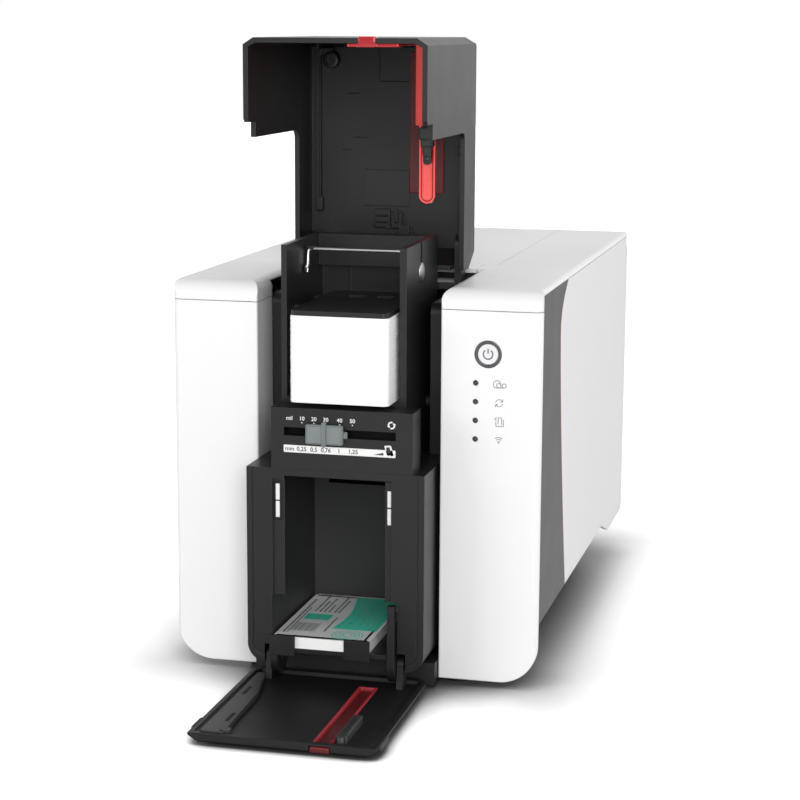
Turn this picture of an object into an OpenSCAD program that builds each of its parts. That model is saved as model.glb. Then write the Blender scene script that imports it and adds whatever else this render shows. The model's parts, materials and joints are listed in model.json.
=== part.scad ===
// Desktop ID card printer with a hinged feeder cover, a drop-down hopper door and a top lid.
// X runs to the right and Y towards the rear. Heights are above the desk.
// Depths in the modules are counted from the front plane of the white fascias.

/* [Body] */
// Width over the side panels
body_w = 205; // [195:1:250]
// Depth from the fascias to the rear panel
body_d = 332; // [325:1:400]
// Height of the top skin above the desk
body_h = 217.8; // [214:0.2:250]
// Thickness of the white skin
skin_t = 2.5; // [2:0.1:3.5]
// Height of the fascias' lower edge above the desk
base_z = 4; // [3:0.5:6]
// Height of the side panels' lower edge above the desk
side_z = 36.6; // [32:0.2:42]
// Radius of the fascias' lower outer corners
corner_r = 21; // [10:1:24]
// Radius of the cap's front edge
cap_r = 10; // [6:1:12]
// Joint gap between neighbouring skin panels
seam = 0.3; // [0.2:0.05:0.6]
// Depth of the rear sockets' hood behind the rear panel
rear_stand = 12.5; // [8:0.5:20]

/* [Column] */
// Width of the black column of hopper, feeder and cover
column_w = 98; // [96:1:110]
// Middle of the column, right of the body's middle
column_x = -3; // [-8:1:8]
// Gap between the column and each fascia
well_gap = 2; // [1:0.5:4]
// Depth of the well that holds the column
well_d = 92; // [92:1:110]
// How far the hopper stands in front of the fascias
hopper_out = 27; // [20:1:30]
// Height of the hopper's top
hopper_h = 122; // [110:1:122]
// Height of the gauge housing
gauge_h = 33; // [30:1:36]
// Height of the feeder tower's top
tower_h = 239.5; // [238:0.5:241]

/* [Cards] */
// Length of one card
card_l = 85.6; // [80:0.1:88]
// Width of one card
card_w = 54; // [50:0.1:56]
// Thickness of one card
card_t = 0.76; // [0.5:0.02:1]
// Corner radius of one card
card_r = 3.18; // [2:0.01:5]
// Blank cards in the feeder
cards_in = 61; // [10:1:61]
// Printed cards in the hopper
cards_out = 8; // [1:1:20]

/* [Cover and door] */
// Length of the feeder cover's skirt
cover_l = 119.8; // [110:0.2:122]
// Wall of the feeder cover
cover_t = 2.7; // [2:0.1:3.5]
// Height of the closed hopper door's lower edge
door_low = 5; // [4:0.5:6]
// Depth of the hopper door's pan
door_d = 9.5; // [8:0.5:10]
// Height of the hopper door's rim above its face
door_lip = 4.8; // [4.6:0.1:5.6]
// Panel thickness of the hopper door
door_t = 3; // [2:0.1:3.4]
// Radius of the hinge pins of the cover, door and lid
pin_r = 2; // [1.5:0.1:2.5]
// Running clearance of every shaft and pin, on the radius
run = 0.05; // [0.02:0.01:0.1]

/* [Mechanism] */
// Height of the card path through the printer
path_z = 156; // [154:0.5:157]
// Radius of the platen roller
platen_r = 8; // [6:0.5:9]
// Radius of the transport rollers
roller_r = 6; // [5:0.5:8]
// Radius of the motor's pulley
motor_pulley_r = 6; // [5:0.5:7]
// Radius of the transport rollers' pulleys
roller_pulley_r = 10; // [9:0.5:10]
// Thickness of the drive belt
belt_t = 1.4; // [1:0.1:2]
// Radius of the full ribbon roll
ribbon_r = 13; // [8:0.5:13.5]
// Radius of the used ribbon roll
used_r = 9; // [7:0.5:13]
// Radius of the power button
button_r = 5.6; // [4:0.2:7]

/* [Hidden] */
$fn = 64;
slack = 0.25;              // gap between parts that only sit beside each other
eps = 0.01;                // overshoot of cuts

// Body outline
half_w = body_w / 2;
col_l = column_x - column_w / 2;
col_r = column_x + column_w / 2;
well_l = col_l - well_gap;
well_r = col_r + well_gap;
cap_z = body_h - skin_t;                   // underside of the caps and lid
cap_front_z = body_h - cap_r - 1.1;        // seam under the cap on the fascia
edge_r = 4;                                // upright front corners
lid_x = well_r + 7.5;                      // seam along the lid's right edge
lid_y = well_d + 21;                       // seam along the lid's front edge
return_d = 27;                             // white side faces inside the well
cover_face = hopper_out + door_d + slack;  // closed cover and door in front of the fascias
door_top = hopper_h - 2.5;                 // closed door's upper edge
door_axis = [5.25 - hopper_out, 16.75];               // the door's hinge, as [depth, height]
door_reach = door_top - door_axis[1] - door_axis[0];   // how far the open door reaches
rear_y = body_d + rear_stand;
centre_y = (rear_y - door_reach) / 2;      // middle of the whole footprint

// Hinge axes of the cover and lid, as [depth, height]
cover_rear = well_d - 0.5;                 // closed cover's rear edge
cover_top = body_h + 29.4;                 // closed cover's top face
cover_axis = [cover_rear - 13.1, cover_top - 14.4];
barrel_r = 5;                              // rolled rear edge of the lid
lid_axis = [body_d - barrel_r, body_h - barrel_r];

// Feeder
tower_l = column_x - 34.2;
tower_r = column_x + 34.7;
tower_t = 3;
tower_y = -10;                             // front edges of the tower's sides
stack_x = column_x + 2;                    // middle of the card path
stack_z = path_z + 2;                      // underside of the feeder's stack
stack_top = stack_z + cards_in * card_t;
stack_front = -hopper_out;
tower_back = stack_front + card_l + tower_t + 0.4;
bail_axis = [23, tower_h - 16];
bail_r = 0.9;

// Mechanism, as [depth, height]
plate_l = column_x - 43;
plate_r = column_x + 43;
plate_t = 2;
clean_at = [well_d + 26, path_z - 0.4 - roller_r];
platen_at = [well_d + 86, path_z - 0.4 - platen_r];
exit_at = [well_d + 148, path_z - 0.4 - roller_r];
motor_at = [well_d + 113, 92];
supply_at = [well_d + 50, path_z + 34];
takeup_at = [well_d + 122, path_z + 34];
platen_pulley_r = clean_at[1] + roller_pulley_r - platen_at[1];
shaft_r = 3;
belt_x = plate_r + plate_t + 3;
belt_w = 5;

// ---- helpers -------------------------------------------------------------------------

// Moves depths counted from the fascias to the model's origin
module stand() translate([0, -centre_y, 0]) children();

module box(x, y, z) translate([x[0], y[0], z[0]])
    cube([x[1] - x[0], y[1] - y[0], z[1] - z[0]]);

// Extrudes a [depth, height] outline across the width
module across(x) translate([x[0], 0, 0]) rotate([90, 0, 90])
    linear_extrude(x[1] - x[0]) children();

// Extrudes an [x, height] outline towards the rear
module rearward(y) translate([0, y[1], 0]) rotate([90, 0, 0])
    linear_extrude(y[1] - y[0]) children();

module upward(z) translate([0, 0, z[0]]) linear_extrude(z[1] - z[0]) children();

// Rectangle with a radius or none at [low low, high low, high high, low high]
module plate(a, b, r = [0, 0, 0, 0]) {
    at = [[a[0], b[0]], [a[1], b[0]], [a[1], b[1]], [a[0], b[1]]];
    to = [[1, 1], [-1, 1], [-1, -1], [1, -1]];
    difference() {
        translate([a[0], b[0]]) square([a[1] - a[0], b[1] - b[0]]);
        for (i = [0:3]) if (r[i] > 0) translate(at[i]) mirror([to[i][0] < 0 ? 1 : 0, 0])
            mirror([0, to[i][1] < 0 ? 1 : 0]) difference() {
                translate([-1, -1]) square(r[i] + 1);
                translate([r[i], r[i]]) circle(r[i]);
            }
    }
}

module rod_x(x, at, r) translate([x[0], at[0], at[1]]) rotate([0, 90, 0])
    cylinder(h = x[1] - x[0], r = r);

module rod_y(y, x, z, r) translate([x, y[0], z]) rotate([-90, 0, 0])
    cylinder(h = y[1] - y[0], r = r);

module both_sides() {
    children();
    mirror([1, 0, 0]) children();
}

// ---- white skin ----------------------------------------------------------------------

// One rounded block of the body, shrunk by t on every side but its rear
module block(x, y, t, r_low, r_high) intersection() {
    rearward([y[0], y[1]]) plate([x[0] + t, x[1] - t], [base_z + t, body_h - t],
        [for (r = concat(r_low, r_high)) max(r - t, 0)]);
    across([x[0], x[1]]) plate([y[0] + t, y[1] + 1], [base_z, body_h - t],
        [0, 0, 0, cap_r - t]);
    upward([0, body_h]) plate([x[0] + t, x[1] - t], [y[0] + t, y[1] + 1],
        [x[0] < -half_w + 1 ? edge_r - t : 1, x[1] > half_w - 1 ? edge_r - t : 1, 0, 0]);
}

module left_skin() difference() {
    block([-half_w, well_l], [0, well_d], 0, [corner_r, 0], [6, 3]);
    block([-half_w, well_l], [0, well_d], skin_t, [corner_r, 0], [6, 3]);
}

module right_skin() difference() {
    block([well_r, half_w], [0, well_d], 0, [0, corner_r], [3, 6]);
    block([well_r, half_w], [0, well_d], skin_t, [0, corner_r], [3, 6]);
}

// Ribs behind a fascia that bear on the base
module fascia_ribs(x) for (z = [24, 36]) box(x, [skin_t - eps, tub_y[0]], [z, z + 2.5]);

module left_fascia() color("white") stand() {
    intersection() {
        left_skin();
        union() {
            box([-half_w, well_l], [0, edge_r], [0, cap_front_z]);
            box([well_l - skin_t, well_l], [0, return_d], [0, cap_front_z]);
        }
    }
    fascia_ribs([-half_w + 12, well_l - 8]);
}

panel_x = (well_r + half_w) / 2;             // middle of the right fascia
button_at = [panel_x - 1.65, body_h - 34];
led_x = panel_x - 8.15;
led_pitch = 10.1;
led_z = button_at[1] - 15.6;
led_r = 1.5;
board_l = button_at[0] - 16;
board_r = button_at[0] + 20;
board_low = led_z - 3.4 * led_pitch;
board_high = button_at[1] + 14;

module right_fascia() color("white") stand() difference() {
    union() {
        intersection() {
            right_skin();
            union() {
                box([well_r, half_w], [0, edge_r], [0, cap_front_z]);
                box([well_r, well_r + skin_t], [0, return_d], [0, cap_front_z]);
            }
        }
        fascia_ribs([well_r + 8, half_w - 12]);
        // posts for the control board
        for (x = [board_l + 4, board_r - 4], z = [board_low + 4, board_high - 4])
            rod_y([skin_t - eps, 8], x, z, 2);
    }
    rod_y([-1, skin_t + 1], button_at[0], button_at[1], button_r + 1.8);
    for (i = [0:3]) rod_y([-1, skin_t + 1], led_x, led_z - i * led_pitch, led_r);
}

// Top skin and its front wrap, in front of the lid
module left_cap() color("white") stand() {
    intersection() {
        left_skin();
        union() {
            box([-half_w, well_l], [0, edge_r], [cap_front_z + seam, body_h]);
            box([-half_w + skin_t + slack, well_l], [0, cap_r + 2], [cap_front_z + seam, body_h]);
            box([-half_w, well_l], [0, well_d], [cap_z, body_h]);
            box([well_l - skin_t, well_l], [0, return_d], [cap_front_z + seam, body_h]);
        }
    }
    intersection() {
        box([-half_w, well_r - seam], [well_d, lid_y - seam], [cap_z, body_h]);
        top_edges();
    }
}

// Body outline behind the well with its top edges rounded
module top_edges() intersection() {
    rearward([0, body_d]) plate([-half_w, half_w], [base_z, body_h], [0, 0, 3, 3]);
    across([-half_w, half_w]) plate([0, body_d], [base_z, body_h], [0, 0, barrel_r, 0]);
}

module right_cap() color("white") stand() {
    intersection() {
        right_skin();
        union() {
            box([well_r, half_w], [0, edge_r], [cap_front_z + seam, body_h]);
            box([well_r, half_w - skin_t - slack], [0, cap_r + 2], [cap_front_z + seam, body_h]);
            box([well_r, half_w], [0, well_d], [cap_z, body_h]);
            box([well_r, well_r + skin_t], [0, return_d], [cap_front_z + seam, body_h]);
        }
    }
    intersection() {
        union() {
            box([well_r, half_w], [well_d, lid_y], [cap_z, body_h]);
            box([lid_x + seam, half_w], [well_d, body_d], [cap_z, body_h]);
        }
        top_edges();
        rear_corners();
    }
}

// Plan outline of the body with rounded rear corners
module rear_corners() upward([0, body_h + 1])
    plate([-half_w, half_w], [0, body_d], [0, 0, 6, 6]);

// Lid over the ribbon bay: its skin, a stiffening rim and a rolled rear edge that turns on
// pins in two brackets
lug_x = [-half_w + 16, lid_x - 30];
lug_w = 12;
module top_lid() color("white") stand() difference() {
    union() {
        intersection() {
            box([-half_w, lid_x], [lid_y, lid_axis[0]], [cap_z, body_h]);
            top_edges();
        }
        rod_x([-half_w, lid_x], lid_axis, barrel_r);
        difference() {
            box([-half_w + 6, lid_x - 4], [lid_y + 4, body_d - 24], [cap_z - 5, cap_z + eps]);
            box([-half_w + 8, lid_x - 6], [lid_y + 6, body_d - 26], [cap_z - 6, cap_z + 1]);
        }
    }
    box([-half_w + 8, lid_x - 6], [lid_y + 6, body_d - 26], [cap_z - 6, cap_z]);
    for (x = lug_x) {
        rod_x([x, x + lug_w], lid_axis, barrel_r + 0.5);
        rod_x([x - 8, x + lug_w + 8], lid_axis, pin_r + run);
    }
}

// ---- side panels ---------------------------------------------------------------------

accent_top = cap_z - seam;
waist_turn = body_h - 27.8;                 // height at which the accent is narrowest
waist_y = 58;                               // its rear edge there
// Rear edge of the accent panel at height z, bowing forward towards the waist
function waist(z) = z > waist_turn ? waist_y + (z - waist_turn) * (z - waist_turn) * 0.036
    : waist_y + 30 * pow((waist_turn - z) / 150, 1.4);
waist_z = [for (i = [0:24]) side_z + (accent_top - side_z) * i / 24];
line_w = 0.8;

module side_plate() across([half_w - skin_t, half_w]) children();

module accent() side_plate()
    polygon(concat([[edge_r + seam, accent_top], [edge_r + seam, side_z]],
        [for (z = waist_z) [waist(z), z]]));

module left_accent() color("dimgray") stand() mirror([1, 0, 0]) accent();
module right_accent() color("dimgray") stand() accent();

module accent_lines() color("orangered") stand() both_sides() side_plate()
    polygon(concat([for (z = waist_z) [waist(z), z]],
        [for (i = [24:-1:0]) [waist(waist_z[i]) + line_w, waist_z[i]]]));

heel_y = body_d - 100;                      // the lower edge drops towards the rear
module side_panel() intersection() {
    side_plate() difference() {
        polygon(concat([for (z = waist_z) [waist(z) + line_w, z]],
            [[body_d, accent_top], [body_d, side_z - 9.6], [heel_y + 30, side_z - 9.6],
             [heel_y, side_z]]));
        translate([body_d - 14, side_z - 9.6]) difference() {
            translate([0, -1]) square(15);
            translate([0, 14]) circle(14);
        }
    }
    rear_corners();
    difference() {
        box([0, half_w], [0, body_d], [0, body_h]);
        rod_x([0, half_w + 1], lid_axis, barrel_r + slack);
        box([0, half_w + 1], [lid_axis[0], body_d + 1], [lid_axis[1], body_h + 1]);
    }
}

module left_side_panel() color("white") stand() mirror([1, 0, 0]) side_panel();
module right_side_panel() color("white") stand() side_panel();

// ---- base and rear -------------------------------------------------------------------

keel_x = 66;                                // half width of the base's floor
tub_t = 2.5;
tub_x = half_w - skin_t;
tub_z = side_z + 7;
tub_y = [8, body_d - 4];

// Cross-section of the base, a shallow tub with flared sides
module tub_outline(t) polygon([
    [-keel_x + t, base_z + t], [keel_x - t, base_z + t], [keel_x - t, 16 + t / 2],
    [tub_x - t, side_z - 0.5 + t / 2], [tub_x - t, tub_z + (t > 0 ? 1 : 0)],
    [-tub_x + t, tub_z + (t > 0 ? 1 : 0)], [-tub_x + t, side_z - 0.5 + t / 2],
    [-keel_x + t, 16 + t / 2]
]);

foot_at = [for (x = [-56, 56], y = [16, body_d - 24]) [x, y]];
foot_r = 8;

module base_tray() color("#1d1d1f") stand() {
    difference() {
        rearward(tub_y) tub_outline(0);
        rearward([tub_y[0] + tub_t, tub_y[1] - tub_t]) tub_outline(tub_t);
        box([well_l - skin_t - slack, well_r + skin_t + slack], [0, well_d + 3.5],
            [hopper_low, tub_z + 2]);
        // clearance for the fascias' inner side faces
        for (x = [well_l - skin_t, well_r]) box([x - slack, x + skin_t + slack],
            [0, return_d + slack], [0, tub_z]);
    }
    box([well_l + slack, well_r - slack], [hinge_back + 6.5, tub_y[0] + eps], [1.2, hopper_low]);
}

module rubber_feet() color("#101010") stand() for (p = foot_at)
    translate([p[0], p[1], 0]) cylinder(h = base_z, r = foot_r);

vent_x = [for (i = [0:8]) -half_w + 20 + i * 5];
inlet_at = [-62, 66];
module rear_panel() color("#1d1d1f") stand() difference() {
    union() {
        intersection() {
            box([-half_w + skin_t, half_w - skin_t], [body_d - skin_t - 0.5, body_d - 0.5],
                [tub_z - 8, lid_axis[1] - barrel_r - 0.5]);
            rear_corners();
        }
        // brackets that carry the lid's hinge pins
        for (x = lug_x) across([x + 0.3, x + lug_w - 0.3]) {
            translate(lid_axis) circle(barrel_r - 0.3);
            plate([lid_axis[0] - 4, body_d - 0.5], [lid_axis[1] - 14, lid_axis[1]]);
        }
    }
    for (x = lug_x) rod_x([x - 1, x + lug_w + 1], lid_axis, pin_r);
    for (x = vent_x) box([x, x + 2.5], [body_d - 5, body_d + 1], [116, 152]);
    box([inlet_at[0] - 14, inlet_at[0] + 14], [body_d - 5, body_d + 1],
        [inlet_at[1] - 10.5, inlet_at[1] + 10.5]);
    box([port_x - 16, port_x + 16], [body_d - 5, body_d + 1], [56, 76]);
    box([stack_x - 30, stack_x + 30], [body_d - 5, body_d + 1], [path_z - 4, path_z + 6]);
}

// Hood round the rear card slot, the rearmost point of the printer
module rear_exit_slot() color("#161618") stand() difference() {
    across([stack_x - 36, stack_x + 36]) polygon([
        [body_d - 0.5, path_z - 14], [rear_y, path_z - 8], [rear_y, path_z + 6],
        [body_d - 0.5, path_z + 16]]);
    box([stack_x - 29, stack_x + 29], [body_d - 2, rear_y + 1], [path_z - 3, path_z + 4]);
}

module power_inlet() color("#101010") stand() difference() {
    union() {
        box([inlet_at[0] - 13.8, inlet_at[0] + 13.8], [body_d - 22, body_d - 0.5],
            [inlet_at[1] - 10.3, inlet_at[1] + 10.3]);
        box([inlet_at[0] - 16, inlet_at[0] + 16], [body_d - 0.5, body_d + 1.5],
            [inlet_at[1] - 12.5, inlet_at[1] + 12.5]);
    }
    box([inlet_at[0] - 12, inlet_at[0] + 12], [body_d - 18, body_d + 2],
        [inlet_at[1] - 8.5, inlet_at[1] + 8.5]);
}

port_x = 66;
module data_ports() color("silver") stand() difference() {
    union() {
        box([port_x - 15.5, port_x - 3.5], [body_d - 18, body_d + 0.5], [58, 69]);
        box([port_x, port_x + 15.5], [body_d - 22, body_d + 0.5], [58, 71.5]);
        box([port_x - 15.5, port_x + 15.5], [body_d - 22, body_d - 18], [58, 69]);
    }
    box([port_x - 13.5, port_x - 5.5], [body_d - 14, body_d + 1], [59.5, 67.5]);
    box([port_x + 1.5, port_x + 14], [body_d - 16, body_d + 1], [59.5, 69.5]);
}

// ---- well and hopper -----------------------------------------------------------------

infill_y = [return_d + slack, well_d];
infill_t = 2;

// Hollow black cheek beside the column, open to the rear
cheek_r = 6;                                // its upper front corner
module infill(x, top) difference() {
    across(x) plate([infill_y[0], infill_y[1]], [hopper_low, top], [0, 0, 0, cheek_r]);
    across([x[0] + infill_t, x[1] - infill_t])
        plate([infill_y[0] + infill_t, well_d + 1], [hopper_low + infill_t, top - infill_t],
            [0, 0, 0, cheek_r - infill_t]);
}

// Upper cheeks stand on the hopper and flank the tower
module left_infill() color("#262628") stand() difference() {
    infill([well_l, tower_l - slack], body_h - 9);
    box([col_l - slack, tower_l], [0, well_d + 1], [0, hopper_h + slack]);
}

module right_infill() color("#262628") stand() difference() {
    infill([tower_r + 4.3, well_r], body_h - 12);
    box([tower_r, col_r + slack], [0, well_d + 1], [0, hopper_h + slack]);
}

module well_back() color("#1d1d1f") stand() difference() {
    box([well_l, well_r], [well_d + slack, well_d + slack + tub_t],
        [base_z + tub_t, cap_z - slack]);
    box([stack_x - 29, stack_x + 29], [well_d - 1, well_d + 5], [path_z - 3, path_z + 5]);
}

hopper_y = [-hopper_out, well_d - 2];
hopper_t = 3;
hopper_low = 14;                            // underside of the hopper
mouth = [column_x - 28, column_x + 31];     // clear opening in the hopper's front
mouth_z = 52;                               // the mouth widens below this height
low_mouth = [column_x - 35, column_x + 34.5];
hinge_mouth = [column_x - 39.5, column_x + 39];
hinge_back = door_axis[0] + 7.75;            // rear of the legs that carry the door's pins

module hopper_housing() color("#2b2b2d") stand() {
    difference() {
        rearward(hopper_y) plate([col_l, col_r], [hopper_low, hopper_h], [10, 10, 0, 0]);
        rearward([hopper_y[0] + hopper_t, hopper_y[1] + 1]) plate(
            [col_l + hopper_t, col_r - hopper_t], [hopper_low + hopper_t, hopper_h - hopper_t],
            [7, 7, 0, 0]);
        box(mouth, [hopper_y[0] - 1, hopper_y[0] + hopper_t + 1], [mouth_z - eps, hopper_h - 4]);
        box(low_mouth, [hopper_y[0] - 1, hopper_y[0] + hopper_t + 1], [24, mouth_z]);
        box(hinge_mouth, [hopper_y[0] - 1, hinge_back + 6], [hopper_low - 1, 24 + eps]);
        // shadow line that frames the front
        rearward([hopper_y[0] - 1, hopper_y[0] + 0.6]) difference() {
            plate([col_l + 3, col_r - 3], [hopper_low + 3, hopper_h + 1], [8, 8, 0, 0]);
            plate([col_l + 3.8, col_r - 3.8], [hopper_low + 3.8, hopper_h + 2], [7.2, 7.2, 0, 0]);
        }
        // recess of the left level marks
        box([mouth[0] - 6.5, mouth[0] + 1], [hopper_y[0] - 1, hopper_y[0] + 1.4],
            [mouth_z, hopper_h - 6]);
    }
    // lip inside the mouth that carries the right level marks
    box([mouth[1] - 4, mouth[1] + 1], [hopper_y[0] + hopper_t - eps, hopper_y[0] + hopper_t + 1],
        [mouth_z, hopper_h - hopper_t - liner_t - slack]);
}

stack_out = [column_x - 34, -hopper_out - 3.8];         // front left corner of the printed cards
liner_back = stack_out[1] + card_l + 2.2;
liner_t = 1.6;
liner_x = [low_mouth[0] - 0.5, low_mouth[1] + 0.5];
module hopper_liner() color("#242426") stand() difference() {
    box([liner_x[0] - liner_t, liner_x[1] + liner_t],
        [hopper_y[0] + hopper_t + slack, liner_back + liner_t], [26, hopper_h - hopper_t - slack]);
    box(liner_x, [hopper_y[0], liner_back], [25, hopper_h - hopper_t - liner_t]);
    box([stack_x - 29, stack_x + 29], [liner_back - 1, liner_back + 3],
        [hopper_h - 26, hopper_h - 14]);
}

tray_z = 24;                                // top of the card shelf
leg_x = [[column_x - 35, column_x - 31], [column_x + 30, column_x + 34]];
leg_top = [tray_z - 0.5, mouth_z - 1];      // the left leg ends under the cards
leg_r = 9.5;

// Card shelf with two front stops, and the legs that carry the door's pins
module hopper_tray() color("#202022") stand() {
    box([liner_x[0] + 0.3, column_x + 29.5], [stack_out[1] - 0.2, liner_back - slack],
        [tray_z - 2.5, tray_z]);
    for (x = [column_x - 35, column_x + 6.5])
        box([x, x + 14], [stack_out[1] - 1.8, stack_out[1] - 0.2],
            [tray_z - 4, tray_z + cards_out * card_t + 1]);
    difference() {
        for (i = [0, 1]) across(leg_x[i]) {
            intersection() {
                translate(door_axis) circle(leg_r);
                translate([door_axis[0] - leg_r, 0]) square([2 * leg_r, door_axis[1] + eps]);
            }
            plate([door_axis[0] - leg_r, hopper_y[0] - 0.1], [door_axis[1], leg_top[i]]);
            plate([door_axis[0] - leg_r, hinge_back], [door_axis[1], tray_z - 0.5]);
        }
        for (x = leg_x) rod_x([x[0] - 1, x[1] + 1], door_axis, pin_r);
    }
    box([leg_x[0][0], leg_x[1][1]], [hinge_back - 4, hinge_back], [tray_z - 5, tray_z - 0.5]);
}

module card_outline(x, y) plate([x, x + card_w], [y, y + card_l],
    [card_r, card_r, card_r, card_r]);

module output_cards() color("#e8f2f0") stand()
    upward([tray_z, tray_z + cards_out * card_t])
        card_outline(stack_out[0], stack_out[1]);

// White bars beside the mouth that show how full the hopper is
mark_y = hopper_y[0] + hopper_t - eps;       // front of the lip in the mouth
mark_z = [for (z = [27.5, 18, 8.5]) hopper_h - z];
module level_marks() color("white") stand() for (i = [0:1]) {
    z = [mark_z[i] + 0.3, mark_z[i + 1] - 0.3];
    box([mouth[0] - 5, mouth[0] - 2.8], [hopper_y[0] + 1.1, hopper_y[0] + 1.4], z);
    box([mouth[1] - 3.8, mouth[1] - 0.3], [mark_y - 0.3, mark_y], z);
}

// ---- hopper door, drawn closed and then turned open ----------------------------------

module about(axis, angle) translate([0, axis[0], axis[1]]) rotate([angle, 0, 0])
    translate([0, -axis[0], -axis[1]]) children();

door_face = -cover_face;
chamfer = [5.5, 3.6];                       // width and depth of the long bevels
door_rim = 2.5;
window_x = [column_x + 14, column_x + 25];  // red strip in the door
door_lug_x = [[leg_x[0][0] - 3.8, leg_x[0][0] - 0.3], [leg_x[1][1] + 0.3, leg_x[1][1] + 3.8]];

// Cross-section of the door's pan, seen from above with the face at the front
module pan(t) {
    f = door_face + t * 1.2;
    polygon([[col_l + chamfer[0] + t * 0.4, f], [col_r - chamfer[0] - t * 0.4, f],
        [col_r - t * 0.85, door_face + chamfer[1] + t * 0.4],
        [col_r - t * 0.85, door_face + door_lip + (t > 0 ? 1 : 0)],
        [col_l + t * 0.85, door_face + door_lip + (t > 0 ? 1 : 0)],
        [col_l + t * 0.85, door_face + chamfer[1] + t * 0.4]]);
}

module door_ends() across([col_l - 1, col_r + 1]) polygon([
    [door_face, door_low + 7], [door_face, door_top - 1], [door_face + 1, door_top],
    [door_face + door_lip, door_top], [door_face + door_lip, door_low + 7 - door_lip]]);

// Outline of the door seen from the front, drawn in by t; the hinge end has cut corners
module door_front(t) rearward([door_face - 1, door_face + door_lip + 2]) polygon([
    [col_l + 7 + t * 0.5, door_low + t], [col_r - 7 - t * 0.5, door_low + t],
    [col_r - t, door_low + 10 + t * 0.5], [col_r - t, door_top - t],
    [col_l + t, door_top - t], [col_l + t, door_low + 10 + t * 0.5]]);

module hopper_door() color("#222224") stand() about(door_axis, 90) difference() {
    union() {
        difference() {
            intersection() {
                upward([door_low, door_top]) pan(0);
                door_ends();
                door_front(0);
            }
            intersection() {
                upward([door_low + 3, door_top - 3]) pan(door_rim);
                across([col_l, col_r]) polygon([
                    [door_face + door_t, door_low + 8], [door_face + door_t, door_top - 3.4],
                    [door_face + door_lip, door_top - 3], [door_face + door_lip + 1, door_top - 3],
                    [door_face + door_lip + 1, door_low + 6]]);
                door_front(door_rim);
            }
        }
        // raised rail with two catch slots
        difference() {
            rearward([door_face + door_t - eps, door_face + door_t + 2.5]) polygon([
                [col_l + 5.8, door_low + 17], [col_l + 9.6, door_low + 17],
                [col_l + 15.8, door_top - 64], [col_l + 17.8, door_top - 2.9],
                [col_l + 5.8, door_top - 2.9]]);
            for (s = [[13.2, 31.5], [8.2, 74]]) box([col_l + s[0], col_l + s[0] + 2.1],
                [door_face + door_t + 0.8, door_face + door_t + 3],
                [door_top - s[1], door_top - s[1] + 13]);
        }
        // low bosses for the catches
        box([col_l + 15.8, col_l + 20.2], [door_face + door_t - eps, door_face + door_t + 2.6],
            [door_top - 9, door_top - 4.6]);
        box([col_r - 22.8, col_r - 17.8], [door_face + door_t - eps, door_face + door_t + 4],
            [door_top - 40, door_top - 6]);
        for (x = door_lug_x) across(x) {
            translate(door_axis) circle(pin_r + 2.4);
            polygon([[door_face + door_t - 1, door_axis[1] + 6.5],
                [door_face + door_t - 1, door_axis[1] - 4], [door_axis[0], door_axis[1] - 4.4],
                [door_axis[0] + 1.6, door_axis[1] + 4.1]]);
        }
    }
    for (x = door_lug_x) rod_x([x[0] - 1, x[1] + 1], door_axis, pin_r + run);
    box(window_x, [door_face - 1, door_face + door_t + 0.5], [door_low + 19, door_top + 1]);
}

module door_window() color("firebrick") stand() about(door_axis, 90) intersection() {
    union() {
        box([window_x[0] + 0.1, window_x[1] - 0.1], [door_face + 0.2, door_face + 2.2],
            [door_low + 19.2, door_top - 0.2]);
        difference() {
            box([window_x[0] + 0.1, window_x[1] - 0.1], [door_face + 2.1, door_face + door_t],
                [door_low + 19.2, door_top - 3.2]);
            box([window_x[0] + 1.3, window_x[1] - 1.3], [door_face + 2.2, door_face + door_t + 1],
                [door_low + 20.6, door_top - 4.6]);
        }
    }
    door_ends();
}

// ---- gauge ---------------------------------------------------------------------------

gauge_x = [column_x - 35, column_x + 42.6];
gauge_z = [hopper_h, hopper_h + gauge_h];
gauge_back = tower_y;
slot_x = [column_x - 28, column_x + 33.3];
slot_z = [hopper_h + 18, hopper_h + 22.5];

module gauge_housing() color("#2b2b2d") stand() difference() {
    box(gauge_x, [-hopper_out, gauge_back], gauge_z);
    box([gauge_x[0] + 2.5, gauge_x[1] - 2.5], [-hopper_out + 2.5, gauge_back + 1],
        [gauge_z[0] + 2.5, gauge_z[1] - 2.5]);
    box(slot_x, [-hopper_out - 1, -hopper_out + 3], slot_z);
}

scale_z = [hopper_h + 9, hopper_h + 13];
module gauge_scale() color("white") stand()
    box([slot_x[0], slot_x[1]], [-hopper_out - 0.3, -hopper_out], scale_z);

// Thickness slider: a finger plate with a pointer rib, on a stem through the slot
slider_x = column_x - 5;
slider_w = 20.3;
module gauge_slider() color("#959b9b") stand() {
    box([slider_x - slider_w / 2, slider_x + slider_w / 2],
        [-hopper_out - 3.2, -hopper_out - 0.4], [slot_z[0] - 3.5, slot_z[1] + 2.5]);
    box([slider_x - 1.1, slider_x + 1.1], [-hopper_out - 4.6, -hopper_out - 0.4],
        [slot_z[0] - 5, slot_z[1] + 4]);
    box([slider_x + slider_w / 2 - eps, slider_x + slider_w / 2 + 2.2],
        [-hopper_out - 1.8, -hopper_out - 0.4], [slot_z[0], slot_z[1] - 0.8]);
    box([slider_x - 7, slider_x + 7], [-hopper_out - 1, -hopper_out + 4],
        [slot_z[0] + slack, slot_z[1] - slack]);
    box([slider_x - 9, slider_x + 9], [-hopper_out + 2.8, -hopper_out + 5],
        [slot_z[0] - 2, slot_z[1] + 2]);
}

// ---- feeder --------------------------------------------------------------------------

tower_x = [tower_l, tower_r];
tower_z = [hopper_h, tower_h];
feed_at = [40, stack_z - 0.4 - platen_r];
rail_x = [stack_x - card_w / 2 - 0.5, stack_x + card_w / 2 + 0.9];

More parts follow.
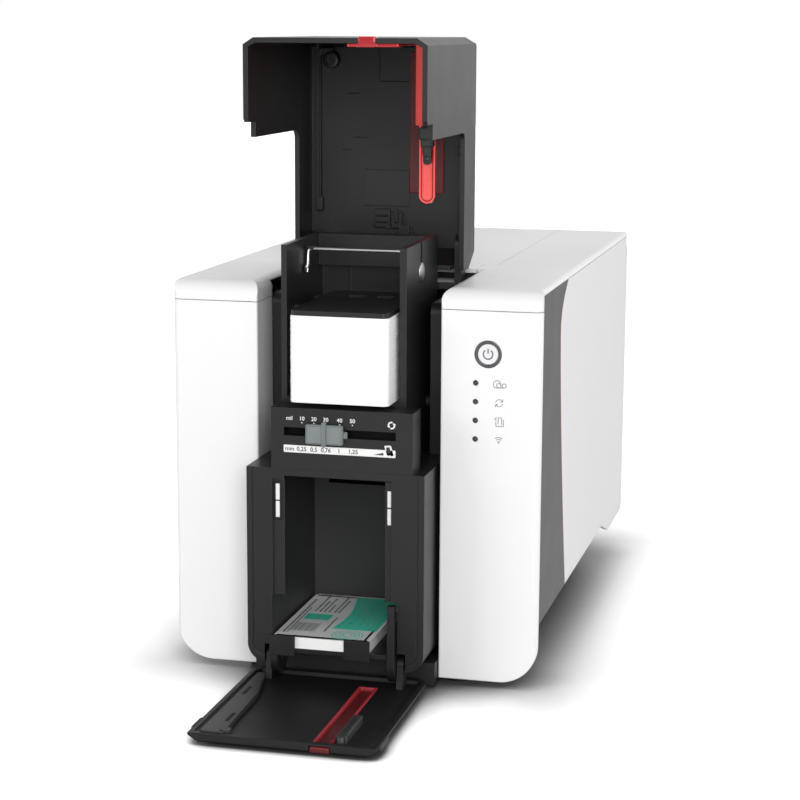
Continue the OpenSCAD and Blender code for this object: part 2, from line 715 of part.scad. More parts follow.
module feeder_tower() color("#2b2b2d") stand() difference() {
    union() {
        box([tower_x[0], tower_x[0] + tower_t], [tower_y, tower_back], tower_z);
        box([tower_x[1] - tower_t - 0.8, tower_x[1]], [tower_y, tower_back], tower_z);
        box(tower_x, [tower_back - tower_t, tower_back], tower_z);
        box(tower_x, [tower_y, tower_back], [stack_z - 4, stack_z]);
        box(tower_x, [tower_y, tower_y + 2.5], [tower_z[0], stack_z - 1]);
        // header across the back
        box(tower_x, [tower_back - 10, tower_back], [tower_h - 17.5, tower_h]);
        // guide rails of the stack
        box([tower_x[0], rail_x[0]], [4, 9], [stack_z - 1, tower_h - 34]);
        box([tower_x[0], rail_x[0]], [44, 49], [stack_z - 1, tower_h - 34]);
        box([stack_x - 17.5, stack_x - 16.3], [tower_back - tower_t - 0.3, tower_back],
            [stack_z, tower_h - 18]);
    }
    // window for the feed roller
    box([stack_x - 20, stack_x + 20], [feed_at[0] - platen_r - 2, feed_at[0] + platen_r + 2],
        [stack_z - 6, stack_z + 1]);
    rod_x([tower_x[0] - 1, tower_x[1] + 1], feed_at, shaft_r + run);
    // gate for the lowest card
    box([stack_x - 28.5, stack_x + 28.5], [tower_back - 5, tower_back + 1],
        [path_z - 1, stack_z + card_t * 2]);
    // bail pivots and the relief slot in the right side
    rod_x([tower_x[0] - 1, tower_x[1] + 1], bail_axis, bail_r + run);
    box([tower_x[1] - 1.2, tower_x[1] + 1], [bail_axis[0] - 2.2, bail_axis[0] + 2.2],
        [bail_axis[1] - 6, tower_h + 1]);
    // pockets in the back wall
    for (x = [column_x - 9, column_x + 6.5]) {
        box([x, x + 5.2], [tower_back - tower_t - 1, tower_back - 1], [203, 206]);
        box([x + 1.6, x + 3.4], [tower_back - tower_t - 1, tower_back - 2], [stack_z, 203]);
    }
}

module feeder_cards() color("white") stand()
    upward([stack_z, stack_z + cards_in * card_t])
        card_outline(stack_x - card_w / 2, stack_front);

// Black weight that lies on the stack and keeps it flat, with two finger pockets
weight_t = 2.6;
module card_weight() color("#262628") stand() difference() {
    upward([stack_top, stack_top + weight_t])
        plate([stack_x - card_w / 2 + 0.5, stack_x + card_w / 2 - 0.5],
            [stack_front + 0.6, stack_front + card_l - 0.6], [3, 3, 3, 3]);
    for (x = [stack_x - 13, stack_x + 3]) box([x, x + 10],
        [stack_front + card_l - 30, stack_front + card_l - 16],
        [stack_top + 1.2, stack_top + weight_t + 1]);
}

// Wire bail with a crossbar, bent from one rod and hung in the tower's sides
bail_top = [bail_axis[0] + 2, bail_axis[1] + 10.5];
bail_in = [tower_x[0] + tower_t + 1.6, tower_x[1] - tower_t - 2.4];
module bail_arm(x) {
    d = (bail_top - bail_axis) / norm(bail_top - bail_axis) * bail_r;
    n = [d[1], -d[0]];
    across([x - bail_r, x + bail_r]) {
        for (p = [bail_axis, bail_top]) translate(p) circle(bail_r);
        polygon([bail_axis + n, bail_top + n, bail_top - n, bail_axis - n]);
    }
}
module card_bail() color("silver") stand() {
    for (x = bail_in) bail_arm(x);
    rod_x(bail_in, bail_top, bail_r);
    rod_x([tower_x[0] - 0.8, bail_in[0]], bail_axis, bail_r);
    rod_x([bail_in[1], tower_x[1] + 0.4], bail_axis, bail_r);
    // tail below the left pivot
    across([bail_in[0] - bail_r, bail_in[0] + bail_r])
        plate([bail_axis[0] - bail_r, bail_axis[0] + bail_r], [bail_axis[1] - 3, bail_axis[1]]);
}

// ---- feeder cover, drawn open --------------------------------------------------------

cover_low = cover_axis[1] - 13.1;
cover_high = cover_axis[1] + cover_face + cover_axis[0];
cover_back = cover_axis[0] + 14.4;
cover_front = cover_back - cover_l;
notch_z = cover_high - 51.7;
notch_y = tower_back + 2.5;
notch_r = 5;
ear_x = [[col_l + cover_t + 0.5, col_l + cover_t + 4.5],
    [col_r - cover_t - 4.5, col_r - cover_t - 0.5]];
ear_r = 5.5;

// Cross-section of the cover as [x, height], shrunk by t
module hood(t) polygon([
    [col_l + t, cover_low - (t > 0 ? 1 : 0)], [col_r - t, cover_low - (t > 0 ? 1 : 0)],
    [col_r - t, cover_high - chamfer[1] - t * 0.4],
    [col_r - chamfer[0] - t * 0.4, cover_high - t],
    [col_l + chamfer[0] + t * 0.4, cover_high - t],
    [col_l + t, cover_high - chamfer[1] - t * 0.4]]);

// The cover's hollow as [depth, height], kept g clear of its walls
module cover_inside(g) {
    t = cover_t + g;
    polygon([[cover_front - 1, cover_low + t], [cover_back - 15.8, cover_low + t],
        [cover_back - t, cover_low + 9.7], [cover_back - t, cover_high - 6.2],
        [cover_back - 6.2, cover_high - t], [cover_front - 1, cover_high - t]]);
}

// Side view of the cover as [depth, height], with the notch that clears the body
module cover_side() {
    difference() {
        polygon([[cover_front, cover_high], [cover_front, notch_z + 8.2],
            [cover_front + 12.5, notch_z + 8.2], [cover_front + 12.5, notch_z],
            [notch_y, notch_z], [notch_y, cover_low], [cover_back - 15, cover_low],
            [cover_back, cover_low + 8.5], [cover_back, cover_high - 5],
            [cover_back - 5, cover_high]]);
        translate([cover_front, notch_z + 8.2]) circle(1.5);
    }
    // fillet in the notch's corner
    translate([notch_y - notch_r, notch_z - notch_r]) difference() {
        square(notch_r + eps);
        circle(notch_r);
    }
}

module feeder_cover() color("#2b2b2d") stand() difference() {
    intersection() {
        union() {
            difference() {
                rearward([cover_front, cover_back]) hood(0);
                intersection() {
                    rearward([cover_front - 1, cover_back]) hood(cover_t);
                    across([col_l, col_r]) cover_inside(0);
                }
            }
            // pin bosses
            for (x = ear_x) rod_x(x[0] < column_x ? [col_l + 1, x[0] - 0.3]
                : [x[1] + 0.3, col_r - 1], cover_axis, ear_r);
            // inner ribs and panels of the back wall
            box([col_l + 6.5, col_l + 8], [cover_back - 7, cover_back - 1],
                [cover_low + 30, cover_high - 3]);
            rod_y([cover_back - 7, cover_back - 1], col_l + 15.2, cover_high - 13.2, 4.2);
            box([column_x - 15.2, column_x + 11.3],
                [cover_back - cover_t - 0.8, cover_back - 1], [cover_low + 32.8, cover_low + 53.3]);
            for (z = [0, 3, 6]) box([column_x - 2, column_x + 4], [cover_back - cover_t - 2,
                cover_back - 1], [cover_low + 14 + z, cover_low + 15.2 + z]);
            box([column_x + 6, column_x + 12], [cover_back - cover_t - 2.5, cover_back - 1],
                [cover_low + 12, cover_low + 22]);
        }
        across([col_l - 1, col_r + 1]) cover_side();
    }
    for (x = ear_x) {
        rod_x(x[0] < column_x ? [col_l + 1.5, x[0]] : [x[1], col_r - 1.5],
            cover_axis, pin_r + run);
        // the ears pass through the rear wall as the cover turns
        box([x[0] - 0.5, x[1] + 0.5], [notch_y - 1, cover_axis[0] + ear_r + 1.2],
            [cover_low - 1, cover_axis[1] - 5]);
    }
    // slots for the red strip
    box(strip_x, [cover_back - cover_t - 1, cover_back + 1], [strip_end + 5, cover_high - 8]);
    rod_y([cover_back - cover_t - 1, cover_back + 1], strip_mid, strip_end + 5, strip_r);
    box(latch_x, [cover_front - 1, cover_front + 6], [cover_high - cover_t - 1, cover_high + 1]);
}

strip_x = [column_x + 17.5, column_x + 27];
strip_mid = (strip_x[0] + strip_x[1]) / 2;
strip_r = (strip_x[1] - strip_x[0]) / 2;
strip_end = cover_low + 34.5;
latch_x = [column_x + 12.4, column_x + 22];
wing_x = [column_x + 6.3, column_x + 34];

// Red strip down the cover's back wall, across its upper wall and out at the front latch
module cover_window() color("red") stand() {
    box([strip_x[0] + 0.1, strip_x[1] - 0.1], [cover_back - cover_t - 3, cover_back - 0.2],
        [strip_end + 5, cover_high - 8.1]);
    rod_y([cover_back - cover_t - 3, cover_back - 0.2], strip_mid, strip_end + 5, strip_r - 0.1);
    intersection() {
        across([column_x, col_r]) cover_inside(0.1);
        union() {
            box([strip_x[0] + 0.1, strip_x[1] - 0.1], [cover_back - cover_t - 3, cover_back],
                [cover_high - 20, cover_high]);
            for (x = [strip_x[0] - 4.5, strip_x[1] - 0.2])
                box([x, x + 4.7], [cover_back - cover_t - 1.2, cover_back],
                    [strip_end + 11, cover_high - cover_t - 6]);
            box([strip_x[0] + 0.1, strip_x[1] - 2.5], [cover_front + 7, cover_back],
                [cover_high - cover_t - 1.6, cover_high]);
            box(wing_x, [cover_front + 0.6, cover_front + 7.1],
                [cover_high - cover_t - 1.8, cover_high]);
        }
    }
    box([latch_x[0] + 0.1, latch_x[1] - 0.1], [cover_front - 0.6, cover_front + 5.9],
        [cover_high - cover_t - 1.9, cover_high + 0.8]);
}

// Latch block on the strip
module cover_latch() color("#3c4040") stand() {
    box([strip_x[0] + 1, strip_x[1] + 3], [cover_back - cover_t - 9, cover_back - cover_t - 3],
        [notch_z - 10, notch_z + 3]);
    box([strip_x[0] + 2.2, strip_x[1] - 2.2], [cover_back - cover_t - 7, cover_back - cover_t - 3],
        [notch_z - 22, notch_z - 10]);
    rod_y([cover_back - cover_t - 7.5, cover_back - cover_t - 3], strip_mid, notch_z - 22, 2.5);
}

// Bracket behind the tower with two ears for the cover's pins
module hinge_bracket() color("#232325") stand() difference() {
    union() {
        box([ear_x[0][0], ear_x[1][1]], [tower_back + 4, well_d], [body_h - 9, body_h - 5]);
        for (x = ear_x) across(x) {
            translate(cover_axis) circle(ear_r);
            plate([cover_axis[0] - ear_r, cover_axis[0] + ear_r], [body_h - 8, cover_axis[1]]);
        }
    }
    for (x = ear_x) rod_x([x[0] - 1, x[1] + 1], cover_axis, pin_r);
}

// Two pins each for the lid, the door and the cover
module hinge_pins() color("silver") stand() {
    for (x = lug_x) rod_x([x - 7.5, x + lug_w + 7.5], lid_axis, pin_r);
    rod_x([door_lug_x[0][0] + 0.2, leg_x[0][1]], door_axis, pin_r);
    rod_x([leg_x[1][0], door_lug_x[1][1] - 0.2], door_axis, pin_r);
    for (x = ear_x) rod_x(x[0] < column_x ? [col_l + 1.6, x[1]] : [x[0], col_r - 1.6],
        cover_axis, pin_r);
}

// ---- mechanism -----------------------------------------------------------------------

plate_y = [well_d + 8, body_d - 32];
module frame_plates() color("silver") stand() difference() {
    for (x = [plate_l, plate_r]) across([x, x + plate_t]) difference() {
        plate([plate_y[0], plate_y[1]], [base_z + tub_t, supply_at[1] + 10], [0, 0, 8, 8]);
        translate([165, 60]) plate([0, 22], [0, 50], [5, 5, 5, 5]);
        translate([245, 50]) plate([0, 36], [0, 70], [5, 5, 5, 5]);
        plate([platen_at[0] - 13, platen_at[0] + 13], [path_z + 6, supply_at[1] + 11]);
    }
    for (p = [clean_at, platen_at, exit_at, supply_at, takeup_at])
        rod_x([plate_l - 1, plate_r + plate_t + 1], p, shaft_r + run);
    rod_x([plate_r - 1, plate_r + plate_t + 1], motor_at, 11.05);
}

// Rubber roller on a steel shaft with its belt pulley on the right
module roller(at, r, pulley) {
    rod_x([plate_l + plate_t + 2, plate_r - 2], at, r);
    rod_x([plate_l - 3, belt_x + belt_w + 1], at, shaft_r);
    rod_x([belt_x, belt_x + belt_w], at, pulley);
    rod_x([belt_x - 1.2, belt_x - 0.2], at, pulley + 1);
}

module feed_roller() color("#4a4a4c") stand() {
    rod_x([stack_x - 18, stack_x + 18], feed_at, platen_r);
    rod_x([tower_x[0] - 0.1, tower_x[1] + 2], feed_at, shaft_r);
}

module cleaning_roller() color("steelblue") stand() roller(clean_at, roller_r, roller_pulley_r);
module platen_roller() color("#3a3a3c") stand() roller(platen_at, platen_r, platen_pulley_r);
module exit_roller() color("#4a4a4c") stand() roller(exit_at, roller_r, roller_pulley_r);

// Loop round the pulleys, held just off them
module belt_loop(r) hull() {
    translate(clean_at) circle(roller_pulley_r + r);
    translate(exit_at) circle(roller_pulley_r + r);
    translate(motor_at) circle(motor_pulley_r + r);
}

module drive_belt() color("#111111") stand() across([belt_x + 0.3, belt_x + belt_w - 0.3])
    difference() {
        belt_loop(slack + belt_t);
        belt_loop(slack);
    }

module drive_motor() color("#303032") stand() difference() {
    union() {
        across([plate_r - 36, plate_r]) translate(motor_at) plate([-21, 21], [-21, 21],
            [3, 3, 3, 3]);
        rod_x([plate_r, plate_r + plate_t], motor_at, 11);
    }
    rod_x([plate_r - 30, plate_r + plate_t + 1], motor_at, 2.5 + run);
}

module motor_pulley() color("#c9a227") stand() {
    rod_x([plate_r - 29, belt_x + belt_w + 1], motor_at, 2.5);
    rod_x([belt_x, belt_x + belt_w], motor_at, motor_pulley_r);
    rod_x([belt_x - 1.2, belt_x - 0.2], motor_at, motor_pulley_r + 1);
}

// Thermal head under the lid: a ceramic edge on a block, carried by the finned heatsink
head_x = [stack_x - 29, stack_x + 29];
head_y = [platen_at[0] - 10, platen_at[0] + 10];
head_z = path_z + 2.2;
module print_head() color("#b9b4a6") stand() {
    box(head_x, head_y, [head_z + 1.2, head_z + 8]);
    box([head_x[0] + 1, head_x[1] - 1], [platen_at[0] - 3, platen_at[0] + 3],
        [head_z, head_z + 1.3]);
}

module head_heatsink() color("silver") stand() {
    box(head_x, head_y, [head_z + 8, head_z + 12]);
    for (i = [0:9]) box([head_x[0] + i * 6.22, head_x[0] + i * 6.22 + 2], head_y,
        [head_z + 11, head_z + 30]);
    for (x = [head_x[0] + 8, head_x[1] - 14]) box([x, x + 6],
        [platen_at[0] - 4, platen_at[0] + 4], [head_z + 11, cap_z]);
}

// Ribbon roll on its core
module spool(at, r) {
    rod_x([plate_l - 3, plate_r + plate_t + 3], at, shaft_r);
    rod_x([plate_l + plate_t + 1, plate_r - 1], at, 7);
    rod_x([head_x[0] + 1, head_x[1] - 1], at, r);
    for (x = [head_x[0] - 2, head_x[1] + 0.5]) rod_x([x, x + 1.5], at, 14);
}

module ribbon_supply() color("#6a3fa0") stand() spool(supply_at, ribbon_r);
module ribbon_takeup() color("#2a2140") stand() spool(takeup_at, used_r);

// Film from one roll to the other, under the head
film_t = 0.3;
function film_line(t) = [
    [supply_at[0] + 2, supply_at[1] - ribbon_r - 0.6 - t],
    [head_y[0] - 3, head_z - 0.6 - t], [head_y[1] + 3, head_z - 0.6 - t],
    [takeup_at[0] - 2, takeup_at[1] - used_r - 0.6 - t]];
module ribbon_film() color("#4b2c78") stand() across([head_x[0] + 2, head_x[1] - 2])
    polygon(concat(film_line(0), [for (i = [3:-1:0]) film_line(film_t)[i]]));

// ---- electronics ---------------------------------------------------------------------

board_x = plate_r + plate_t + 26;
module main_board() color("darkgreen") stand() {
    box([board_x, board_x + 1.6], [116, body_d - 50], [60, 186]);
    for (p = [[140, 90, 22, 22], [180, 120, 16, 30], [180, 76, 26, 14], [226, 98, 30, 30],
        [226, 146, 12, 24], [140, 150, 34, 10]])
        box([board_x - 3, board_x + eps], [p[0], p[0] + p[2]], [p[1], p[1] + p[3]]);
    for (i = [0:4]) rod_x([board_x - 12, board_x + eps], [150 + i * 22, 176], 5);
    for (y = [122, 276], z = [66, 181]) rod_x([plate_r + plate_t, board_x + eps], [y, z], 2.5);
}

module control_board() color("darkgreen") stand() difference() {
    box([board_l, board_r], [8, 9.6], [board_low, board_high]);
    box([button_at[0] - 5, button_at[0] + 5], [7, 9.2],
        [button_at[1] - 5, button_at[1] + 5]);
}

module power_supply() color("#9a9a9c") stand() difference() {
    union() {
        box([-half_w + 10, plate_l - 6], [130, 280], [tub_z + 2, tub_z + 46]);
        for (y = [150, 250]) box([plate_l - 6.1, plate_l], [y, y + 14], [tub_z + 12, tub_z + 22]);
    }
    for (i = [0:11]) box([-half_w + 16, plate_l - 12], [144 + i * 10, 148 + i * 10],
        [tub_z + 45, tub_z + 47]);
}

fan_at = [-half_w + 40, 134];
fan_y = [body_d - 15, body_d - skin_t - 0.5];
module fan_frame() color("#18181a") stand() difference() {
    rearward(fan_y) translate(fan_at) plate([-21, 21], [-21, 21], [3, 3, 3, 3]);
    rod_y([fan_y[0] - 1, fan_y[1] - 1.5], fan_at[0], fan_at[1], 19.5);
    difference() {
        rod_y([fan_y[0] - 1, fan_y[1] + 1], fan_at[0], fan_at[1], 19);
        rod_y([fan_y[0] - 2, fan_y[1] + 2], fan_at[0], fan_at[1], 7);
        for (a = [0, 90]) translate([fan_at[0], 0, fan_at[1]]) rotate([0, a + 45, 0])
            box([-20, 20], [fan_y[1] - 1.5, fan_y[1] + 1], [-1.2, 1.2]);
    }
    box([fan_at[0] - 8, fan_at[0] + 8], [fan_y[0] - 2, fan_y[1] - 1.5],
        [fan_at[1] - 8, fan_at[1] + 8]);
    rod_y([fan_y[0] - 2, fan_y[1] + 2], fan_at[0], fan_at[1], 1.5 + run);
}

module fan_rotor() color("#2c2c30") stand() {
    rod_y([fan_y[0] + 1, fan_y[1] - 2], fan_at[0], fan_at[1], 7.5);
    rod_y([fan_y[0] + 1, fan_y[1] - 0.5], fan_at[0], fan_at[1], 1.5);
    for (i = [0:6]) translate([fan_at[0], 0, fan_at[1]]) rotate([0, i * 360 / 7, 0])
        translate([0, (fan_y[0] + fan_y[1]) / 2 - 1, 0]) rotate([0, 0, 28])
            box([-0.8, 0.8], [-4, 4], [6.5, 18.6]);
}

// ---- controls ------------------------------------------------------------------------

press = 1.2;
module power_button() color("whitesmoke") stand() {
    rod_y([-0.3, skin_t + 2], button_at[0], button_at[1], button_r);
    rod_y([skin_t + 1.9, skin_t + 3], button_at[0], button_at[1], button_r + 1.2);
    rod_y([skin_t + 2.9, 9.2 - press - 0.2], button_at[0], button_at[1], 2);
}

module button_ring() color("#6d6d70") stand() difference() {
    rod_y([-0.25, skin_t], button_at[0], button_at[1], button_r + 1.8);
    rod_y([-1, skin_t + 1], button_at[0], button_at[1], button_r + 0.1);
}

module status_leds() color("#3a3a3d") stand() for (i = [0:3])
    rod_y([-0.15, 8 - slack], led_x, led_z - i * led_pitch, led_r - 0.05);

base_tray();
rubber_feet();
left_fascia();
right_fascia();
left_cap();
right_cap();
top_lid();
left_accent();
right_accent();
accent_lines();
left_side_panel();
right_side_panel();
rear_panel();
rear_exit_slot();
power_inlet();
data_ports();
left_infill();
right_infill();
well_back();
hopper_housing();
hopper_liner();
hopper_tray();
output_cards();
level_marks();
hopper_door();
door_window();
gauge_housing();
gauge_scale();
gauge_slider();
feeder_tower();
feeder_cards();
card_weight();
card_bail();
hinge_bracket();
feeder_cover();
cover_window();
cover_latch();
hinge_pins();
frame_plates();
feed_roller();
cleaning_roller();
platen_roller();
exit_roller();
drive_belt();
drive_motor();
motor_pulley();
print_head();
head_heatsink();
ribbon_supply();
ribbon_takeup();
ribbon_film();
main_board();
control_board();
power_supply();
fan_frame();
fan_rotor();
power_button();
button_ring();
status_leds();
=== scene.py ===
# %% [markdown]
# # A desktop card printer
# The printer is a white body with a black column at its front. Blank cards wait in the
# feeder on top of the column, and printed cards drop into the hopper below. The packed
# CAD model holds every housing at its real size. This lesson gives each a finish and adds
# what a solid modeller leaves plain: card stacks, scales, signs, lenses, screws and clear
# strips.

# %% Load the model
import json
import math

import bpy
import numpy as np
from mathutils import Matrix, Vector


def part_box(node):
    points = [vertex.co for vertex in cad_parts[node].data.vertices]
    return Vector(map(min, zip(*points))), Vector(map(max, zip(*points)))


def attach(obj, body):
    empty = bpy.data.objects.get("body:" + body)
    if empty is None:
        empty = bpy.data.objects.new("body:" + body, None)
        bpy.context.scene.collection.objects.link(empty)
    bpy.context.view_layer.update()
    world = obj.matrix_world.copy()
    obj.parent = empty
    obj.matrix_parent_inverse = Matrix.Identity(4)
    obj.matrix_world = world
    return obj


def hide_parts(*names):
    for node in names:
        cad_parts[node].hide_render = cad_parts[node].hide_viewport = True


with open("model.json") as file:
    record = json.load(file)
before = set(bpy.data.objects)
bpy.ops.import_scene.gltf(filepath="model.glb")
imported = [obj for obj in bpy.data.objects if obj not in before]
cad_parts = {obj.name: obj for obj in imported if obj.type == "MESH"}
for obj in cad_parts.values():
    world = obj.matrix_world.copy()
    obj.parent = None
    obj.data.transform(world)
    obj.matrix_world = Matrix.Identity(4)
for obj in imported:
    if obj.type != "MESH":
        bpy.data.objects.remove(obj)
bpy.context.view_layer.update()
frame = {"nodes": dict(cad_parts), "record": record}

# %% [markdown]
# ## Camera
# A long lens far away keeps edges nearly parallel. The camera stands right of the middle
# and looks down a little, so the front, the right side and the top show.

# %% Camera
PICTURE = 800
FOCAL_PIXELS = 2040
CAMERA_AT = (0.284446, -1.152634, 0.355644)
YAW, PITCH, ROLL = 0.243133, 0.182866, 0.0050527


def put(name, data):
    """A new object in the scene, from its camera, lamp, mesh or text data."""
    thing = bpy.data.objects.new(name, data)
    bpy.context.scene.collection.objects.link(thing)
    return thing


def camera_matrix(yaw, pitch, roll, place):
    """Forward from yaw and pitch, right level with the floor, then both turned by roll."""
    forward = Vector((-math.sin(yaw) * math.cos(pitch), math.cos(yaw) * math.cos(pitch),
                      -math.sin(pitch)))
    right = Vector((math.cos(yaw), math.sin(yaw), 0))
    up = right.cross(forward)
    side = math.cos(roll) * right + math.sin(roll) * up
    top = -math.sin(roll) * right + math.cos(roll) * up
    turn = Matrix((side, top, -forward)).transposed()
    return Matrix.Translation(Vector(place)) @ turn.to_4x4()


lens = bpy.data.cameras.new("catalogue_camera")
lens.sensor_width = 36
lens.lens = FOCAL_PIXELS / PICTURE * lens.sensor_width
lens.clip_end = 30
camera = put("catalogue_camera", lens)
camera.matrix_world = camera_matrix(YAW, PITCH, ROLL, CAMERA_AT)
bpy.context.scene.camera = camera
print("lens:", round(lens.lens, 2), "mm")

# %% [markdown]
# ## Nodes in few words
# Every finish is a Principled shader with patterns on Object coordinates, in metres. A
# few helpers that add a node and set its sockets keep each recipe short.

# %% Material helpers
finishes = {}
FINE = 0.0001


def start_finish(name):
    """A new Principled material, with its node tree and shader."""
    material = bpy.data.materials.new(name)
    material.use_nodes = True
    finishes[name] = material
    return material.node_tree, material.node_tree.nodes["Principled BSDF"]


def fill(tree, node, sockets):
    """Each socket takes a value of its own or a link from another node's output."""
    for key, value in sockets.items():
        if isinstance(value, bpy.types.NodeSocket):
            tree.links.new(value, node.inputs[key])
        else:
            node.inputs[key].default_value = value


def add(tree, kind, sockets=None, out=None, **settings):
    """A new node with its settings and sockets filled in, or only its output called out."""
    node = tree.nodes.new("ShaderNode" + kind)
    for key, value in settings.items():
        setattr(node, key, value)
    fill(tree, node, sockets or {})
    return node.outputs[out] if out else node


def maths(tree, operation, *terms):
    """The result of one Math node."""
    return add(tree, "Math", dict(enumerate(terms)), "Value", operation=operation)


def vectors(tree, operation, *terms, out="Vector"):
    """The result of one VectorMath node."""
    return add(tree, "VectorMath", dict(enumerate(terms)), out, operation=operation)


def place_of(tree, stretch=(1, 1, 1)):
    """Object coordinates, stretched along each axis."""
    where = add(tree, "TexCoord", out="Object")
    if stretch == (1, 1, 1):
        return where
    return add(tree, "Mapping", {"Vector": where, "Scale": stretch}, "Vector")


def speckle(tree, scale, detail=2.0, stretch=(1, 1, 1)):
    """Noise with so many features to the metre."""
    return add(tree, "TexNoise", {"Vector": place_of(tree, stretch), "Scale": scale,
                                  "Detail": detail}, "Fac")


def between(tree, factor, low, high, edges=(0.3, 0.7)):
    """A number that goes from low to high as the factor crosses its edges."""
    return add(tree, "MapRange", {"Value": factor, "From Min": edges[0], "To Min": low,
                                  "From Max": edges[1], "To Max": high}, "Result")


def tint(tree, factor, one, other):
    """A colour between two, by a factor; the first may be a link."""
    if not isinstance(one, bpy.types.NodeSocket):
        one = (*one, 1)
    return add(tree, "Mix", {"Factor": factor, "A": one, "B": (*other, 1)}, "Result",
               data_type="RGBA")


def shade(colour, share):
    """A colour made lighter or darker by a share."""
    return tuple(min(1.0, c * share) for c in colour)


def soft_edges(tree, radius, samples=4):
    """The normal turned as by a small radius, and its dot product with the flat normal."""
    rounded = add(tree, "Bevel", {"Radius": radius}, "Normal", samples=samples)
    flat_way = add(tree, "NewGeometry", out="Normal")
    return rounded, vectors(tree, "DOT_PRODUCT", rounded, flat_way, out="Value")


def bump(tree, height, strength, distance=FINE, **normal):
    """The normal tilted by the slope of a height; Normal is the one to start from."""
    return add(tree, "Bump", {"Height": height, "Strength": strength, "Distance": distance,
                              **normal}, "Normal")


# %% [markdown]
# ## Moulded plastic
# Nearly all that shows is injection-moulded plastic: a fine even grain, a slightly cloudy
# gloss and no sharp edge. The grain is a bump from fine noise, the cloud is a slow change
# of roughness, and the Bevel node turns the light over each edge as a radius would. The
# dark plastics also get their edges painted lighter, a painted sheen.

# %% Moulded plastic


def moulded(name, colour, roughness, grain=0.1, grain_size=1400, cloud=0.03,
            edge=0.0005, edge_sheen=1.0, coat=0.0):
    """Cloudy colour, cloudy gloss and fine grain; a share above one paints the edges lighter, a
    painted sheen.
    """
    tree, shader = start_finish(name)
    base = tint(tree, speckle(tree, 18, 3), shade(colour, 1 - cloud), shade(colour, 1 + cloud))
    if edge:
        rounded, flatness = soft_edges(tree, edge)
    else:
        rounded = add(tree, "NewGeometry", out="Normal")
    # Painted sheen: the colour goes lighter by a share where the bevel normal turns from the
    # flat one.
    if edge_sheen != 1.0:
        base = tint(tree, between(tree, flatness, 1, 0, (0.9, 0.999)), base, shade(colour, edge_sheen))
    gloss = between(tree, speckle(tree, 40), roughness - 0.02, roughness + 0.02)
    fill(tree, shader, {
        "Base Color": base, "Roughness": gloss, "Coat Weight": coat, "Coat Roughness": 0.12,
        "Normal": bump(tree, speckle(tree, grain_size), grain, Normal=rounded)})


moulded("white_shell", (0.86, 0.86, 0.87), 0.34, grain=0.04, edge=0.0008, cloud=0.01)
moulded("black_plastic", (0.0092, 0.0091, 0.0094), 0.4, edge_sheen=2.5, cloud=0.05)
moulded("dark_plastic", (0.011, 0.011, 0.0115), 0.5, grain=0.12, edge_sheen=2.0, cloud=0.05)
# A darker copy of the black plastic: painted shade on the door.
moulded("door_plastic", (0.0025, 0.0025, 0.0026), 0.5, grain=0.12, edge_sheen=2.5, cloud=0.05)
moulded("liner_plastic", (0.031, 0.031, 0.0325), 0.5, grain=0.08, edge_sheen=1.8, cloud=0.04)
moulded("grey_accent", (0.056, 0.056, 0.058), 0.4, grain=0.05, cloud=0.02)
moulded("accent_orange", (0.75, 0.13, 0.04), 0.3, grain=0.03, edge=0.0002)
moulded("latch_grey", (0.045, 0.05, 0.05), 0.4, edge_sheen=1.8)
# Near-black for the patches that stand for slots: painted shade.
moulded("painted_slot_shade", (0.003, 0.003, 0.003), 0.9, grain=0.0, edge=0.0)
# A lighter copy for the door's moulded rail and catch: painted light.
moulded("rail_grey", (0.023, 0.025, 0.024), 0.5, edge_sheen=1.4)
moulded("slider_grey", (0.2, 0.225, 0.225), 0.42, grain=0.08, edge_sheen=1.2)
moulded("card_print", (0.9, 0.93, 0.94), 0.3, grain=0.0, edge=0.0, coat=0.3)
moulded("ring_grey", (0.075, 0.075, 0.08), 0.3, grain=0.05, edge=0.0003)
moulded("button_white", (0.8, 0.8, 0.81), 0.3, grain=0.04, edge=0.0004)
moulded("mark_white", (0.84, 0.84, 0.83), 0.38, grain=0.03, edge=0.0001)
moulded("card_white", (0.93, 0.93, 0.92), 0.3, grain=0.0, edge=0.0, coat=0.3)
moulded("led_dark", (0.02, 0.02, 0.022), 0.15, grain=0.02, edge=0.0001, coat=1.0)
moulded("head_ceramic", (0.42, 0.39, 0.32), 0.35, edge=0.0003)
print("plastics:", len(finishes))

# %% [markdown]
# ## Metals, rubber, film and boards
# Sheet steel has the straight scratches of rolling, so its noise is stretched along one
# axis. The rollers are ground rubber, the ribbon is glossy film in coloured panels, and
# the boards carry copper tracks under green lacquer.

# %% Metals


def rolled_metal(name, colour, roughness, stretch=(1, 0.02, 1), lines=900):
    """Metal with fine parallel scratches along one axis."""
    tree, shader = start_finish(name)
    scratch = speckle(tree, lines, 3, stretch)
    rounded, _ = soft_edges(tree, 0.0003)
    fill(tree, shader, {
        "Base Color": tint(tree, scratch, shade(colour, 0.9), shade(colour, 1.06)),
        "Roughness": between(tree, scratch, roughness - 0.06, roughness + 0.08),
        "Normal": bump(tree, scratch, 0.08, Normal=rounded), "Metallic": 1})


rolled_metal("steel", (0.62, 0.62, 0.63), 0.26)
rolled_metal("aluminium", (0.74, 0.75, 0.76), 0.34, (0.03, 1, 1))
rolled_metal("case_metal", (0.6, 0.6, 0.61), 0.4, (1, 0.03, 1), 500)
rolled_metal("brass", (0.72, 0.54, 0.22), 0.28, (0.1, 1, 1), 1500)
moulded("motor_case", (0.03, 0.03, 0.033), 0.38, grain=0.3, grain_size=700, edge_sheen=3.0)
moulded("rubber", (0.012, 0.012, 0.0125), 0.72, grain=0.5, grain_size=2200, cloud=0.2)
print("finishes so far:", len(finishes))

# %% Film and boards


